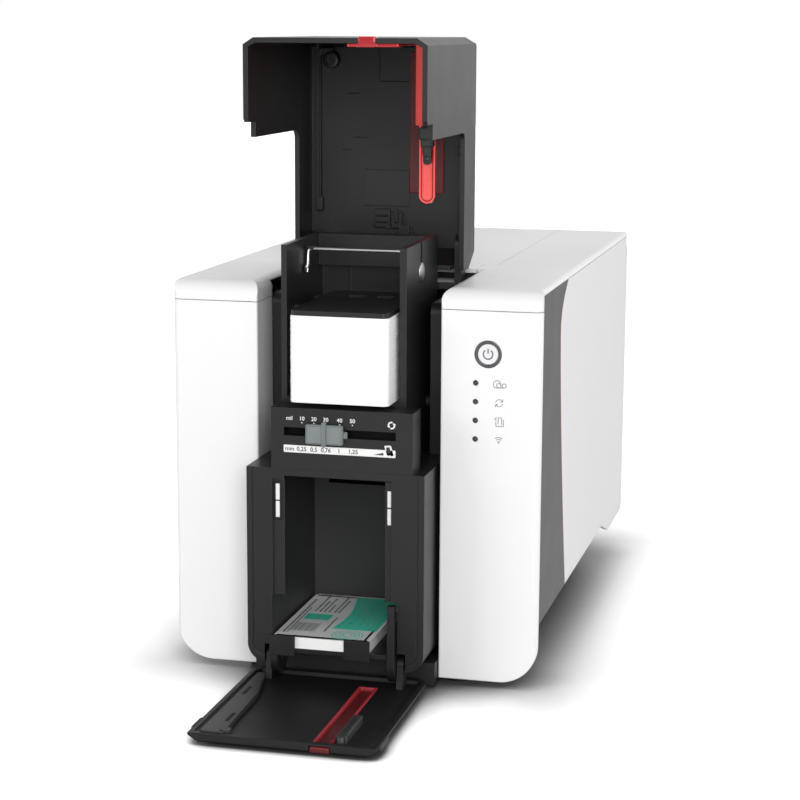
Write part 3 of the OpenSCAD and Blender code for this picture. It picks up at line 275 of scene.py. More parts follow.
def ribbon_film_finish():
    """Bands of yellow, magenta, cyan, black and clear that follow one another on the film."""
    tree, shader = start_finish("ribbon")
    along = add(tree, "SeparateXYZ", {0: place_of(tree)}, "Y")
    turn = maths(tree, "MODULO", along, 0.11)
    ramp = add(tree, "ValToRGB", {"Fac": maths(tree, "MULTIPLY", turn, 9.1)})
    ramp.color_ramp.interpolation = "CONSTANT"
    bands = [(0, (0.5, 0.32, 0.02)), (0.22, (0.32, 0.02, 0.12)), (0.44, (0.01, 0.1, 0.3)),
             (0.66, (0.01, 0.01, 0.012)), (0.86, (0.25, 0.25, 0.26))]
    while len(ramp.color_ramp.elements) < len(bands):
        ramp.color_ramp.elements.new(0.5)
    for stop, (at, colour) in zip(ramp.color_ramp.elements, bands):
        stop.position = at
        stop.color = (*colour, 1)
    fill(tree, shader, {
        "Base Color": ramp.outputs["Color"], "Roughness": 0.16,
        "Normal": bump(tree, speckle(tree, 160, 2, (1, 0.1, 1)), 0.12, 3 * FINE)})


def board_finish():
    """Green lacquer with lighter tracks, which are the borders of square Voronoi cells."""
    tree, shader = start_finish("circuit_board")
    cells = add(tree, "TexVoronoi", {"Vector": place_of(tree), "Scale": 160}, "Distance",
                distance="CHEBYCHEV", feature="F1")
    track = between(tree, cells, 0, 1, (0.5, 0.62))
    fill(tree, shader, {
        "Base Color": tint(tree, track, (0.008, 0.055, 0.022), (0.03, 0.13, 0.05)),
        "Roughness": 0.32, "Normal": bump(tree, track, 0.2)})


ribbon_film_finish()
board_finish()
print("finishes so far:", sorted(finishes))

# %% [markdown]
# ## Red strips
# The two strips are tinted clear plastic. Light goes into their faces and comes out at
# their edges, so they look lit from inside. Subsurface scattering under a glossy coat
# gives that without the noise of refraction in so thin a part. On top of it the rims are
# painted a brighter red and a faint emission makes the strips glow, both painted light;
# darker and brighter copies of the red paint shade and light part by part.

# %% Red plastic


def tinted_red(name, colour, deep, glow, coat=0.5, roughness=0.18):
    """Red painted deep on flat faces and bright along the rims, a painted highlight, with a
    faint painted glow.
    """
    tree, shader = start_finish(name)
    rounded, flatness = soft_edges(tree, 0.0012, 6)
    # The rims are painted brighter than the flat faces: a painted highlight.
    red = tint(tree, between(tree, flatness, 1, 0, (0.8, 0.995)), deep, colour)
    # The emission is a painted glow; the strips are no lamps.
    fill(tree, shader, {
        "Base Color": red, "Emission Color": red, "Emission Strength": glow,
        "Normal": rounded, "Roughness": roughness, "Subsurface Weight": 0.6,
        "Subsurface Radius": (1.0, 0.15, 0.1), "Subsurface Scale": 0.004,
        "Coat Weight": coat})


# Lit and shaded copies of one red plastic: red_deep and red_dull are darker, painted shade;
# red_bar and red_lens are brighter and glow more, painted light.
tinted_red("red_window", (0.75, 0.05, 0.06), (0.38, 0.015, 0.02), 0.12)
tinted_red("red_deep", (0.5, 0.03, 0.04), (0.085, 0.004, 0.006), 0.1, 0.05, 0.5)
tinted_red("red_dull", (0.5, 0.03, 0.05), (0.24, 0.012, 0.02), 0.12, 0.05, 0.5)
tinted_red("red_bar", (0.95, 0.12, 0.11), (0.75, 0.08, 0.075), 0.34)
tinted_red("red_lens", (1.0, 0.2, 0.18), (0.95, 0.12, 0.11), 0.35)
print("reds:", [name for name in finishes if name.startswith("red")])

# %% [markdown]
# ## Dress the CAD nodes
# The record says which finish slot each node takes, so one loop dresses all of them. New
# pieces take their finish by the same slot names.

# %% Assign the finishes
slot_of = {part["node"]: part["material_slot"] for part in frame["record"]["subparts"]}
# The door takes a darker copy of the black plastic, painted shade; the liner takes a lighter
# copy.
own_finish = {"hopper_door": "door_plastic", "hopper_liner": "liner_plastic"}
for node, part in frame["nodes"].items():
    finish = finishes[own_finish.get(node, slot_of.get(node, "black_plastic"))]
    part.data.materials.clear()
    part.data.materials.append(finish)
print("dressed nodes:", len(frame["nodes"]))

# %% [markdown]
# ## Studio
# The floor is white and matte. Its material adds a little light of its own for camera
# rays only, so that the open floor is plain white. That light fades towards the printer
# and wherever something stands close above the floor, so the shadows stay; there the
# floor's colour goes darker as well. Both make a painted shadow round and under the
# printer. The world is brighter behind the printer than in front, as in a white cove.

# %% Floor and world


def beside(tree, centre, half):
    """How far a place is from an upright box, 0 inside it; its height does not count."""
    size = vectors(tree, "ABSOLUTE", vectors(tree, "SUBTRACT", place_of(tree), centre))
    past = vectors(tree, "SUBTRACT", size, (*half, 9))
    return vectors(tree, "LENGTH", vectors(tree, "MAXIMUM", past, (0, 0, 0)), out="Value")


FLOOR_GLOW = 0.8
CONTACT_HEIGHT = 0.045


def white_floor():
    """A matte white floor; for the camera's own rays it glows more away from the printer.

    Where less open air lies above it, both its colour and its glow are darker, a painted
    contact shadow; the glow fading towards the printer is painted shade too.
    """
    tree, shader = start_finish("studio_floor")
    # Ambient occlusion finds where things stand close above; it darkens colour and glow: painted
    # contact shadow.
    open_air = add(tree, "AmbientOcclusion", {"Distance": CONTACT_HEIGHT}, "AO", samples=16)
    seen = add(tree, "LightPath", out="Is Camera Ray")
    # The glow fades within 85 mm of the printer's box: painted shade round the printer.
    away = beside(tree, (0, 0.06, 0), (0.088, 0.165))
    glow = maths(tree, "MULTIPLY", between(tree, away, 0, FLOOR_GLOW, (0, 0.085)),
                 between(tree, open_air, 0, 1, (0.45, 0.92)))
    fill(tree, shader, {
        "Base Color": tint(tree, between(tree, open_air, 0, 1, (0.3, 0.8)), (0.1, 0.1, 0.1),
                           (0.8, 0.8, 0.8)),
        "Roughness": 0.35, "Emission Color": (1, 1, 1, 1),
        "Emission Strength": maths(tree, "MULTIPLY", seen, glow)})
    mesh = bpy.data.meshes.new("studio_floor")
    mesh.from_pydata([(-6, -6, 0), (6, -6, 0), (6, 6, 0), (-6, 6, 0)], [], [(0, 1, 2, 3)])
    mesh.materials.append(finishes["studio_floor"])
    put("studio_floor", mesh)


def white_world(front, back):
    """Light that grows from front to back and fades overhead; the camera sees white."""
    world = bpy.data.worlds.new("studio_world")
    world.use_nodes = True
    bpy.context.scene.world = world
    tree = world.node_tree
    way = add(tree, "SeparateXYZ", {0: add(tree, "TexCoord", out="Generated")})
    level = maths(tree, "MULTIPLY",
                  between(tree, way.outputs["Y"], front, back, (-0.6, 0.8)),
                  between(tree, way.outputs["Z"], 1, 0.42, (0.3, 0.9)))
    path = add(tree, "LightPath").outputs
    seen = maths(tree, "MAXIMUM", path["Is Camera Ray"], path["Is Transmission Ray"])
    strength = add(tree, "Mix", {"Factor": seen, "A": level, "B": 1.0}, "Result",
                   data_type="FLOAT")
    fill(tree, tree.nodes["Background"], {"Color": (1, 1, 1, 1), "Strength": strength})


def soft_box(name, place, aim, size, power):
    """A square area lamp that faces a point."""
    lamp = bpy.data.lights.new(name, "AREA")
    lamp.size = size
    lamp.energy = power
    holder = put(name, lamp)
    holder.location = place
    holder.rotation_euler = (Vector(aim) - Vector(place)).to_track_quat("-Z", "Y").to_euler()


white_floor()
white_world(0.34, 1.1)
soft_box("key_lamp", (0.8, -2.35, 1.05), (0, 0, 0.2), 1.5, 44)
soft_box("left_lamp", (-1.8, -1.7, 0.9), (0, 0, 0.15), 1.0, 15)
soft_box("right_lamp", (2.3, 0.4, 1.0), (0, 0, 0.15), 1.2, 13)
bpy.context.scene.view_settings.view_transform = "Standard"

# %% [markdown]
# ## Shapes from two parameters
# New pieces are in millimetres, with depths counted from the front of the white fascias.
# A shape is a grid of points: one parameter runs round an outline, the other from one end
# to the other. Neighbours are joined to quads, and flat ends are closed.

# %% Grids, shells and pieces
MM = 1000
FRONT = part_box("left_fascia")[0].y * MM
SHARP = math.radians(50)


def span(node):
    """A CAD node's box in millimetres, as (low, high) across, in depth and in height."""
    return [tuple(pair) for pair in (np.array(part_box(node)) * MM - (0, FRONT, 0)).T]


def shell(grid, loop=False):
    """Quads between neighbours of a grid, closed round each row and, for a loop, end to end."""
    rows, columns = grid.shape[:2]
    row = np.arange(rows if loop else rows - 1)[:, None]
    column = np.arange(columns)[None, :]
    after, aside = (row + 1) % rows, (column + 1) % columns
    corners = [row * columns + column, after * columns + column,
               after * columns + aside, row * columns + aside]
    faces = np.stack([c.ravel() for c in np.broadcast_arrays(*corners)], 1)
    points = grid.reshape(-1, 3)
    tri = points[faces[:, [0, 1, 2, 0, 2, 3]]].reshape(-1, 3, 3)
    ends = []
    if not loop:
        ends = [list(range(columns))[::-1], list(range((rows - 1) * columns, rows * columns))]
        fans = [np.stack([points[e][0] + 0 * points[e][1:-1], points[e][1:-1],
                          points[e][2:]], 1) for e in ends]
        tri = np.concatenate([tri, *fans])
    inside_out = np.einsum("ij,ij->i", tri[:, 0], np.cross(tri[:, 1], tri[:, 2])).sum() < 0
    faces = faces.tolist() + ends
    return points, [f[::-1] for f in faces] if inside_out else faces


def make(name, shells, body, slot, replaces=(), finish=None):
    """One object from several shells, in metres, riding on a body with its slot's finish."""
    starts = np.cumsum([0] + [len(points) for points, _ in shells])
    points = np.concatenate([points for points, _ in shells])
    points = (points + (0, FRONT, 0)) / MM
    faces = [[i + start for i in face] for start, (_, some) in zip(starts, shells)
             for face in some]
    mesh = bpy.data.meshes.new(name)
    mesh.from_pydata(points.tolist(), [], faces)
    mesh.polygons.foreach_set("use_smooth", np.ones(len(faces), bool))
    mesh.set_sharp_from_angle(angle=SHARP)
    mesh.materials.append(finishes[finish or slot])
    piece = put(name, mesh)
    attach(piece, body)
    if replaces:
        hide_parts(*replaces)
    print(f"{name}: {len(points)} points, {len(faces)} faces, on {body}")


# %% [markdown]
# ## Three ways to carry a profile
# A slab carries a rounded rectangle along one axis, drawn in at both ends so that every
# edge is soft. A turned shape carries a profile round an axis. A swept shape carries a
# small profile along a path; its cross directions are passed on from point to point so
# that it doesn't twist.

# %% Slabs, turned and swept shapes
AXES = {"x": (1, 2, 0), "y": (0, 2, 1), "z": (0, 1, 2)}


def stand_up(grid, up):
    """Puts a grid drawn as (one way, other way, along up) back to x, depth, height."""
    return grid[..., np.argsort(AXES[up])]


def about(middle, half):
    """A span from half below to half above its middle."""
    return middle - half, middle + half


def at_levels(plan, levels):
    """Plan points (loop, point, 2), each loop raised to its own level."""
    levels = np.broadcast_to(np.reshape(levels, (-1, 1, 1)), (*plan.shape[:2], 1))
    return np.concatenate([plan, levels], -1)


def soft_ends(edge, hold, low, high):
    """Insets edge (1 - sin t) and levels of the loops, from the low end to the high end.

    The loop hold further in, at each very end, keeps the light on the flat end flat.
    """
    turn = np.linspace(0, np.pi / 2, 4)
    inset, rise = edge * (1 - np.sin(turn)), edge * (1 - np.cos(turn))
    return (np.concatenate([[hold], inset, inset[::-1], [hold]]),
            np.concatenate([[low], low + rise, high - rise[::-1], [high]]))


def arc(x, y, radius, start=0.0, end=360.0, count=33):
    """Points of an arc, in degrees from the right, counter-clockwise."""
    angle = np.radians(np.linspace(start, end, count))
    return np.stack([x + radius * np.cos(angle), y + radius * np.sin(angle)], 1)


def circle(radius, sides=16):
    """A round profile."""
    return arc(0, 0, radius, count=sides + 1)[:-1]


def slab(x, y, z, corner, edge, up="z"):
    """A rounded rectangle between two levels: corner arcs in plan, soft edges at both ends."""
    spans = np.array([x, y, z], float)[list(AXES[up])]
    middle, half = spans.mean(1), (spans[:, 1] - spans[:, 0]) / 2
    edge = min(edge, half[2] * 0.98, half[:2].min() * 0.98)
    corner = min(max(corner, edge), half[:2].min())
    outward = np.concatenate([arc(0, 0, 1, turn, turn + 90, 7) for turn in (0, 90, 180, 270)])
    hub = np.repeat([(1, 1), (-1, 1), (-1, -1), (1, -1)], 7, axis=0) * (half[:2] - corner)
    hold = min(edge + 0.2, (half[:2].min() + edge) / 2)
    inset, levels = soft_ends(edge, hold, -half[2], half[2])
    arc_r = np.maximum(corner - inset, 0.01)[:, None, None]
    drawn_in = np.minimum(corner - inset, 0)[:, None, None]
    plan = hub[None] + outward[None] * arc_r + np.sign(hub)[None] * drawn_in
    return shell(stand_up(at_levels(plan, levels) + middle, up))


def slabs(up, *rows):
    """Several slabs along one axis, from rows of (x, y, z, corner, edge)."""
    return [slab(*row, up=up) for row in rows]


def turned(profile, at, up="y", sides=48, loop=False):
    """Each profile point (radius, along) becomes a circle round the axis through at."""
    profile = np.array(profile, float)
    plan = profile[:, :1, None] * circle(1, sides)
    middle = np.array(at, float)[list(AXES[up])]
    middle[2] = 0
    return shell(stand_up(at_levels(plan, profile[:, 1]) + middle, up), loop)


def dome(radius, base, height, last=0.05, count=8):
    """The profile of a low dome on its base, with radius sin t and height cos t."""
    return [(radius * math.sin(t), base + height * math.cos(t))
            for t in np.linspace(np.pi / 2, last, count)]


def headings(path, loop=False):
    """The unit direction of a path at each of its points, from both neighbours."""
    along = np.roll(path, -1, 0) - np.roll(path, 1, 0) if loop else np.gradient(path, axis=0)
    return along / (np.linalg.norm(along, axis=1)[:, None] + 1e-9)


def swept(profile, path, loop=False, start_side=(0, 1, 0)):
    """Profile points (side, lift), added across the path's direction at each of its points."""
    path, profile = np.array(path, float), np.array(profile, float)
    along = headings(path, loop)
    lift, lifts = np.array(start_side, float), []
    for direction in along:
        lift = lift - direction * (lift @ direction)
        lift /= np.linalg.norm(lift)
        lifts.append(lift)
    lifts = np.array(lifts)
    sides = np.cross(along, lifts)
    grid = (path[:, None] + profile[None, :, :1] * sides[:, None]
            + profile[None, :, 1:] * lifts[:, None])
    return shell(grid, loop)


def bent(corners, radius, steps=6, loop=False):
    """A polyline whose corners become quadratic bends that begin a radius before each."""
    corners = np.array(corners, float)
    count = len(corners)
    t = np.linspace(0, 1, steps)[:, None]
    points = [] if loop else [corners[:1]]
    for i in range(0 if loop else 1, count if loop else count - 1):
        here, back, on = corners[i], corners[i - 1], corners[(i + 1) % count]
        reach = [min(radius, np.linalg.norm(p - here) * 0.49) for p in (back, on)]
        a = here + (back - here) / np.linalg.norm(back - here) * reach[0]
        b = here + (on - here) / np.linalg.norm(on - here) * reach[1]
        points.append((1 - t) ** 2 * a + 2 * t * (1 - t) * here + t ** 2 * b)
    if not loop:
        points.append(corners[-1:])
    return np.concatenate(points)


def pressed(corners, heights, radius, edge, up="z"):
    """A slab with any outline: rounded corners, and both ends drawn in by a quarter circle."""
    outline = bent(corners, radius, 5, loop=True)
    along = headings(outline, loop=True)
    x, y = outline.T
    turn_way = np.sign((x * np.roll(y, -1) - np.roll(x, -1) * y).sum())
    inward = np.stack([-along[:, 1], along[:, 0]], 1) * turn_way
    inset, levels = soft_ends(edge, edge + 0.2, *heights)
    plan = outline[None] + inward[None] * inset[:, None, None]
    return shell(stand_up(at_levels(plan, levels), up))


print("front plane of the fascias at", round(FRONT, 2), "mm from the origin")

# %% [markdown]
# ## Cards
# A blank card is a slab of plastic 0.76 mm thick with rounded corners. A stack is never
# quite flush, so each card is moved by a tenth of a millimetre or so. One card's grid is
# worked out once and added to a whole array of places.

# %% The blank stack
CARD_T, CARD_GAP, CARD_CORNER = 0.76, 0.02, 3.1


def card_stack(box, seed, shift=0.12):
    """One card's points, plus (random x, random depth, card number times thickness)."""
    x, y, z = box
    count = max(1, round((z[1] - z[0]) / CARD_T))
    points, faces = slab((x[0] + shift, x[1] - shift), (y[0] + shift, y[1] - shift),
                         (z[0], z[0] + CARD_T - CARD_GAP), CARD_CORNER, 0.1)
    drift = np.random.default_rng(seed).uniform(-shift, shift, (count, 3))
    drift[:, 2] = np.arange(count) * CARD_T
    stack = (points[None] + drift[:, None]).reshape(-1, 3)
    first = np.arange(count) * len(points)
    return stack, [[i + n for i in face] for n in first for face in faces], drift


*blank, _ = card_stack(span("feeder_cards"), seed=4)
make("blank_cards", [blank], "body", "card_white", ["feeder_cards"])

# %% [markdown]
# ## The printed card
# The upper card in the hopper carries a badge layout of our own: a teal field with soft
# waves, bars of a code, dashes for lines of words, and rings. They are thin inked patches
# a few hundredths of a millimetre above the card, so no image is needed.

# %% Inks for the badge


def ink(name, colour, gloss=0.3):
    """Printed colour with the faint unevenness of a thermal ribbon."""
    tree, shader = start_finish(name)
    streak = speckle(tree, 900, 2, (1, 0.05, 1))
    fill(tree, shader, {
        "Base Color": tint(tree, streak, shade(colour, 0.93), shade(colour, 1.05)),
        "Roughness": between(tree, speckle(tree, 300), gloss - 0.03, gloss + 0.05),
        "Coat Weight": 0.2})


ink("ink_grey_ground", (0.82, 0.84, 0.84))
ink("ink_teal", (0.04, 0.72, 0.5))
ink("ink_pale_teal", (0.2, 0.62, 0.52))
ink("ink_dark", (0.06, 0.07, 0.07))
ink("ink_mid", (0.2, 0.22, 0.22))
ink("ink_label_white", (0.8, 0.8, 0.8), 0.4)
ink("ink_label_grey", (0.13, 0.13, 0.14), 0.4)
# Black print; the same finish is painted shade in the screw recesses.
ink("black_print_and_recess_shade", (0.02, 0.02, 0.02), 0.4)


def flat(outline, height, up="z"):
    """A flat patch: an outline of (one way, other way) points at one height, facing up."""
    outline = np.array(outline, float)
    points = stand_up(np.column_stack([outline, np.full(len(outline), height)]), up)
    return points, [list(range(len(outline)))]


def band(left, right, height, up="z"):
    """A strip between two edge curves given at the same stations."""
    grid = stand_up(at_levels(np.stack([left, right], 1), height), up)
    i = np.arange(len(left) - 1) * 2
    return grid.reshape(-1, 3), np.stack([i, i + 1, i + 3, i + 2], 1).tolist()


# %% The badge
x, y, z = span("output_cards")
*printed, drift = card_stack((x, y, z), seed=9, shift=0.08)
make("printed_cards", [printed], "body", "card_white", ["output_cards"])
dx, dy, top = drift[-1] + (x[0], y[0], z[0] + CARD_T - CARD_GAP)
INK = 0.02


def on_card(across, along):
    """Card coordinates to places: across from the left edge, along from the front edge."""
    return np.stack([dx + np.asarray(across, float), dy + np.asarray(along, float)], -1)


def card_block(x0, x1, y0, y1, layer):
    """An inked rectangle on the card, in one of the layers of ink."""
    return flat(on_card([x0, x1, x1, x0], [y0, y0, y1, y1]), top + INK * layer)


wave = np.linspace(0, 1, 40)
corner = np.radians(np.linspace(0, 90, 7))
right_ends = np.concatenate([50 + 2.6 * np.cos(corner), 50 + 2.6 * np.cos(corner[::-1])])
far_ends = np.concatenate([81.5 + 2.8 * np.sin(corner), 4 - 2.8 * np.sin(corner[::-1])])
ground = [flat(on_card(np.append(right_ends, 54 - right_ends[::-1]),
                       np.append(far_ends, far_ends[::-1])), top + INK)]


def wavy(start, phase=0):
    """A soft wave along the card that begins so far across it."""
    return start + 2.5 * np.sin(wave * 4 + phase)


teal = [band(on_card(wavy(27.5), 21 + wave * 62.5), on_card(52.4 + 0 * wave, 21 + wave * 62.5),
             top + INK * 2), card_block(7, 21.5, 35, 46, 2)]
stripes = [band(*(on_card(wavy(edge + k * 4.5, k * 0.7), 25 + wave * 56) for edge in (31, 32.2)),
                top + INK * 3) for k in range(5)]
code_at = np.cumsum([0, 1.1, 0.9, 1.4, 0.8, 1.2, 1.5, 0.9, 1.1, 1.3, 0.9, 1.2])
code = [card_block(6.5 + k, 6.5 + k + 0.55, 13, 28, 2) for k in code_at]
dice = np.random.default_rng(21)


def word_row(across, start, end, width):
    """Short dashes of random length, like the words of a printed line."""
    steps = dice.uniform(1.6, 4.6, 40)
    ends = start + np.cumsum(steps)
    keep = ends < end
    return [card_block(across, across + width, b - a + 0.5, b, 2)
            for a, b in zip(steps[keep], ends[keep])]


words = word_row(3, 8, 76, 1.1) + word_row(5.2, 8, 58, 0.7)
for across, start, end in ((9, 50, 82), (11.6, 50, 74), (14.2, 50, 80), (16.8, 50, 68),
                           (20.2, 50, 82), (22.6, 50, 76), (24.4, 14, 44)):
    words += word_row(across, start, end, 1.0)
tags = [card_block(9, 19.5, 38, 39, 3), card_block(9, 16, 41.5, 42.5, 3)]
rings = [band(*(arc(dx + 39, dy + 11, q, count=48) for q in (r + 0.7, r)), top + INK * 2)
         for r in (2, 4, 6, 8)]
badge = {"badge_ground": (ground, "ink_grey_ground"), "badge_teal": (teal, "ink_teal"),
         "badge_waves": (stripes + tags, "ink_pale_teal"), "badge_code": (code, "ink_mid"),
         "badge_lines": (words, "ink_dark"), "badge_rings": (rings, "ink_teal")}
for name, (patches, finish) in badge.items():
    make(name, patches, "body", "card_print", finish=finish)

# %% [markdown]
# ## The wire bail
# A bright steel wire lies across the feeder. Its ends turn down into two arms and out
# into the tower's sides, where black clips hold them. It keeps the places of the CAD
# node, so the bail turns about its real axis.

# %% Wire finish


def drawn_wire(name, colour, roughness):
    """Bright metal with a slow change of gloss; fine wire needs no grain and no bevel."""
    tree, shader = start_finish(name)
    cloud = speckle(tree, 60, 1)
    fill(tree, shader, {
        "Base Color": tint(tree, cloud, shade(colour, 0.92), colour), "Metallic": 1,
        "Roughness": between(tree, cloud, roughness, roughness + 0.08)})


drawn_wire("bright_wire", (0.8, 0.8, 0.8), 0.3)
drawn_wire("dull_rivet", (0.45, 0.45, 0.45), 0.35)

# %% The wire
x, y, z = span("card_bail")
left, right = x[0] + 5.6, x[1] - 4.4
pivot, bar = (y[0] + 0.9, z[0] + 3), (y[1] - 0.9, z[1] - 0.9)
wire_path = bent([(x[0], *pivot), (left, *pivot), (left, *bar), (right, *bar),
                  (right, *pivot), (x[1], *pivot)], 2.0, 9)
tail_path = bent([(left + 0.2, pivot[0] + 0.8, pivot[1] + 2.5),
                  (left, pivot[0] - 0.2, pivot[1] - 2.2)], 1)
make("wire_bar", [swept(circle(0.98), wire_path, start_side=(0, 1, 0.3)),
                  swept(circle(0.6), tail_path)],
     "bail", "steel", ["card_bail"], "bright_wire")
washers = [turned([(1.0, at - 0.5), (2.2, at - 0.5), (2.4, at - 0.2), (2.4, at + 0.5),
                   (1.0, at + 0.5)], (0, *pivot), "x", 24)
           for at in (left - 1.1, right + 1.4)]
washers.append(slab((left - 1.4, left + 3.4), (bar[0] - 1.3, bar[0] + 1.1),
                    (bar[1] - 0.2, bar[1] + 1.6), 0.7, 0.4))
make("bail_clips", washers, "bail", "steel", finish="dark_plastic")

# %% [markdown]
# ## Power button and lenses
# The button is a shallow turned cap in a grey turned ring, marked with the usual open
# ring and bar. Each status lens is a small dome of dark clear plastic.

# %% Button, ring and lenses
x, y, z = span("power_button")
button_x, button_z = sum(x) / 2, sum(z) / 2
x, y, z = span("button_ring")
ring_r, ring_y = (x[1] - x[0]) / 2, y[0]
bore_r = ring_r - 1.75
lip = np.linspace(0, np.pi, 9)
ring_profile = ([(bore_r, 2.4)] + [(bore_r + (ring_r - bore_r) / 2 * (1 - math.cos(a)),
                                    ring_y + 0.35 * (1 - math.sin(a))) for a in lip]
                + [(ring_r, 2.4)])
button_at = (button_x, 0, button_z)
make("power_ring", [turned(ring_profile, button_at, sides=64, loop=True)], "body",
     "ring_grey", ["button_ring"])

button_face = -0.3
cap_r = bore_r - 0.15
cap_profile = [(cap_r, 4), (cap_r, 0.15), (cap_r - 0.12, -0.12), (cap_r - 0.4, button_face),
               (cap_r - 0.75, button_face), (cap_r - 1.15, button_face + 0.12),
               (0.02, button_face + 0.12)]
collar, stem = [(cap_r + 1.2, 4.4), (cap_r + 1.2, 5.4)], [(2, 5.3), (2, 7.8)]
make("power_cap", [turned(profile, button_at) for profile in (cap_profile, collar, stem)],
     "button", "button_white", ["power_button"])

x, y, z = span("status_leds")
lens_x, lens_r = sum(x) / 2, (x[1] - x[0]) / 2
lens_z = np.linspace(z[1] - lens_r, z[0] + lens_r, 4)
lens_profile = [(lens_r, 7.5), *dome(lens_r, 0, -0.15)]
make("status_lenses", [turned(lens_profile, (lens_x, 0, height), sides=32)
                       for height in lens_z], "body", "led_dark", ["status_leds"])

# %% [markdown]
# ## Pictograms
# Beside the lenses stand four printed signs: two film rolls, a turning arrow for
# cleaning, a tray of cards, and radio waves. Each is drawn in strokes of one width, which
# are thin flat bands on the fascia.

# %% Strokes on an upright face


def stroke(points, width, depth):
    """A line of one width on an upright face: the path moved half a width to each side."""
    points = np.array(points, float)
    along = headings(points)
    across = np.stack([-along[:, 1], along[:, 0]], 1) * width / 2
    return band(points + across, points - across, depth, "y")


def line(*corners):
    """The sides of a polyline, for one straight stroke each."""
    return list(zip(corners[:-1], corners[1:]))


sign_x = lens_x + 12.8
PROUD = 0.03
film_rolls = [arc(-1.3, -0.2, 2.0, -20, 300), arc(-0.3, -0.9, 1.2), arc(2.6, -0.9, 1.1),
              *line((-0.3, -2.1), (2.6, -2.0))]
cleaning = [arc(0, -0.2, 1.9, 30, 170), arc(0, -0.2, 1.9, 210, 350),
            *line((0.5, 0.3), (1.9, 0.6), (2.0, 2.0)),
            *line((-0.5, -0.7), (-1.9, -1.0), (-2.0, -2.4))]
tray = [*line((-1.6, 1.2), (-1.6, -2.6), (2.4, -2.6), (2.4, 1.2)),
        *line((-0.4, -1.6), (-0.4, 2.0), (1.4, 2.0), (1.4, -1.6)),
        *line((-2.6, 0.9), (-1.3, 2.3))]
waves = [arc(0, -1.6, r, 50, 130) for r in (1.1, 2.1, 3.1)]
signs = [stroke(np.add(path, (sign_x, height)), 0.36, -PROUD)
         for height, sign in zip(lens_z, (film_rolls, cleaning, tray, waves)) for path in sign]
signs.append(flat(arc(sign_x, lens_z[3] - 1.5, 0.4)[:-1], -PROUD, "y"))
make("status_signs", signs, "body", "ring_grey", finish="ink_label_grey")

power_bar = np.linspace((button_x, button_z + 0.5), (button_x, button_z + 3.1), 6)
power_mark = [stroke(path, 0.75, button_face + 0.09)
              for path in (arc(button_x, button_z, 2.55, 125, 415), power_bar)]
make("power_mark", power_mark, "button", "ring_grey", finish="ink_label_grey")

# %% [markdown]
# ## The thickness gauge
# The gauge tells how thick a card may be: in thousandths of an inch above the slot and in
# millimetres on the white strip below it. The numbers are text objects, made into meshes
# and then stood upright on the housing's face.

# %% Numbers on the gauge
x, y, z = span("gauge_scale")
gauge_face, strip_z = span("gauge_housing")[1][0] - PROUD, z
card_sign = [(24.1, z[1] + 2.3), (25.7, z[0] + 1), (29.4, z[0] + 1.4), (27.8, z[1] + 2.6)]
make("scale_strip", [slab((x[0], x[1]), (y[0], y[1]), z, 0.4, 0.12, "y"),
                     pressed(card_sign, (y[0], y[1]), 0.7, 0.1, "y")],
     "body", "mark_white", ["gauge_scale"])


def printed_words(words, x, z, size, depth):
    """Words as a mesh: text is filled flat, turned upright and centred on its place."""
    curve = bpy.data.curves.new("words", "FONT")
    curve.body = words
    curve.size = size
    curve.align_x = curve.align_y = "CENTER"
    curve.resolution_u = 3
    curve.offset = size * 0.018
    holder = put("words", curve)
    mesh = holder.to_mesh()
    points = np.zeros(len(mesh.vertices) * 3)
    mesh.vertices.foreach_get("co", points)
    points = points.reshape(-1, 3)
    faces = [list(p.vertices) for p in mesh.polygons]
    holder.to_mesh_clear()
    bpy.data.objects.remove(holder)
    bpy.data.curves.remove(curve)
    return flat(points[:, :2] + (x, z), depth, "y")[0], faces


middle = sum(strip_z) / 2
upper = middle + 16.4
labels = {"mil": -27.8, "10": -20.9, "20": -14.3, "30": -7.8, "40": -0.2, "50": 6.8}
white_prints = [printed_words(words, at, upper, 3.0, gauge_face)
                for words, at in labels.items()]
ticks = [flat([(at - 0.45, upper - 1.9), (at + 0.45, upper - 1.9), (at, upper - 2.7)],
              gauge_face, "y") for at in list(labels.values())[1:]]
ring_at = (28, upper - 1.1)


def arrow_head(turn):
    """A small head at the end of a round arrow, its tip 40 degrees on."""
    return [arc(*ring_at, r, turn + on)[0] for r, on in ((2.5, 0), (0.8, 0), (1.6, 40))]


turn_arrow = [stroke(arc(*ring_at, 1.65, start, start + 125), 0.8, gauge_face)
              for start in (70, 250)]
turn_arrow += [flat(arrow_head(end), gauge_face, "y") for end in (195, 375)]
make("gauge_white_prints", white_prints + ticks + turn_arrow, "body", "mark_white",
     finish="ink_label_white")
strip_face = y[0] - PROUD
labels = {"mm": -27.6, "0,25": -21, "0,5": -14.3, "0,76": -7.7, "1": -0.5, "1,25": 7.2}
dark_prints = [printed_words(words, at, middle, 3.2, strip_face)
               for words, at in labels.items()]
dark_prints += [flat([(18.2, middle - 0.9), (23.8, middle - 0.9), (23.8, middle + 0.5)],
                     strip_face, "y"),
                flat([(25.1, middle + 3.5), (25.9, middle + 0.3), (27.9, middle + 0.5),
                      (27.1, middle + 3.7)], strip_face, "y"),
                stroke(arc(28.3, middle + 0.2, 1.0, 200, 330), 0.5, strip_face)]
make("gauge_dark_prints", dark_prints, "body", "mark_white", finish="black_print_and_recess_shade")

# %% [markdown]
# ## The slider
# The grey slider is a finger plate with a raised rib that ends in a pointer. Its plate
# has soft corners, and its own guide runs in the slot behind it.

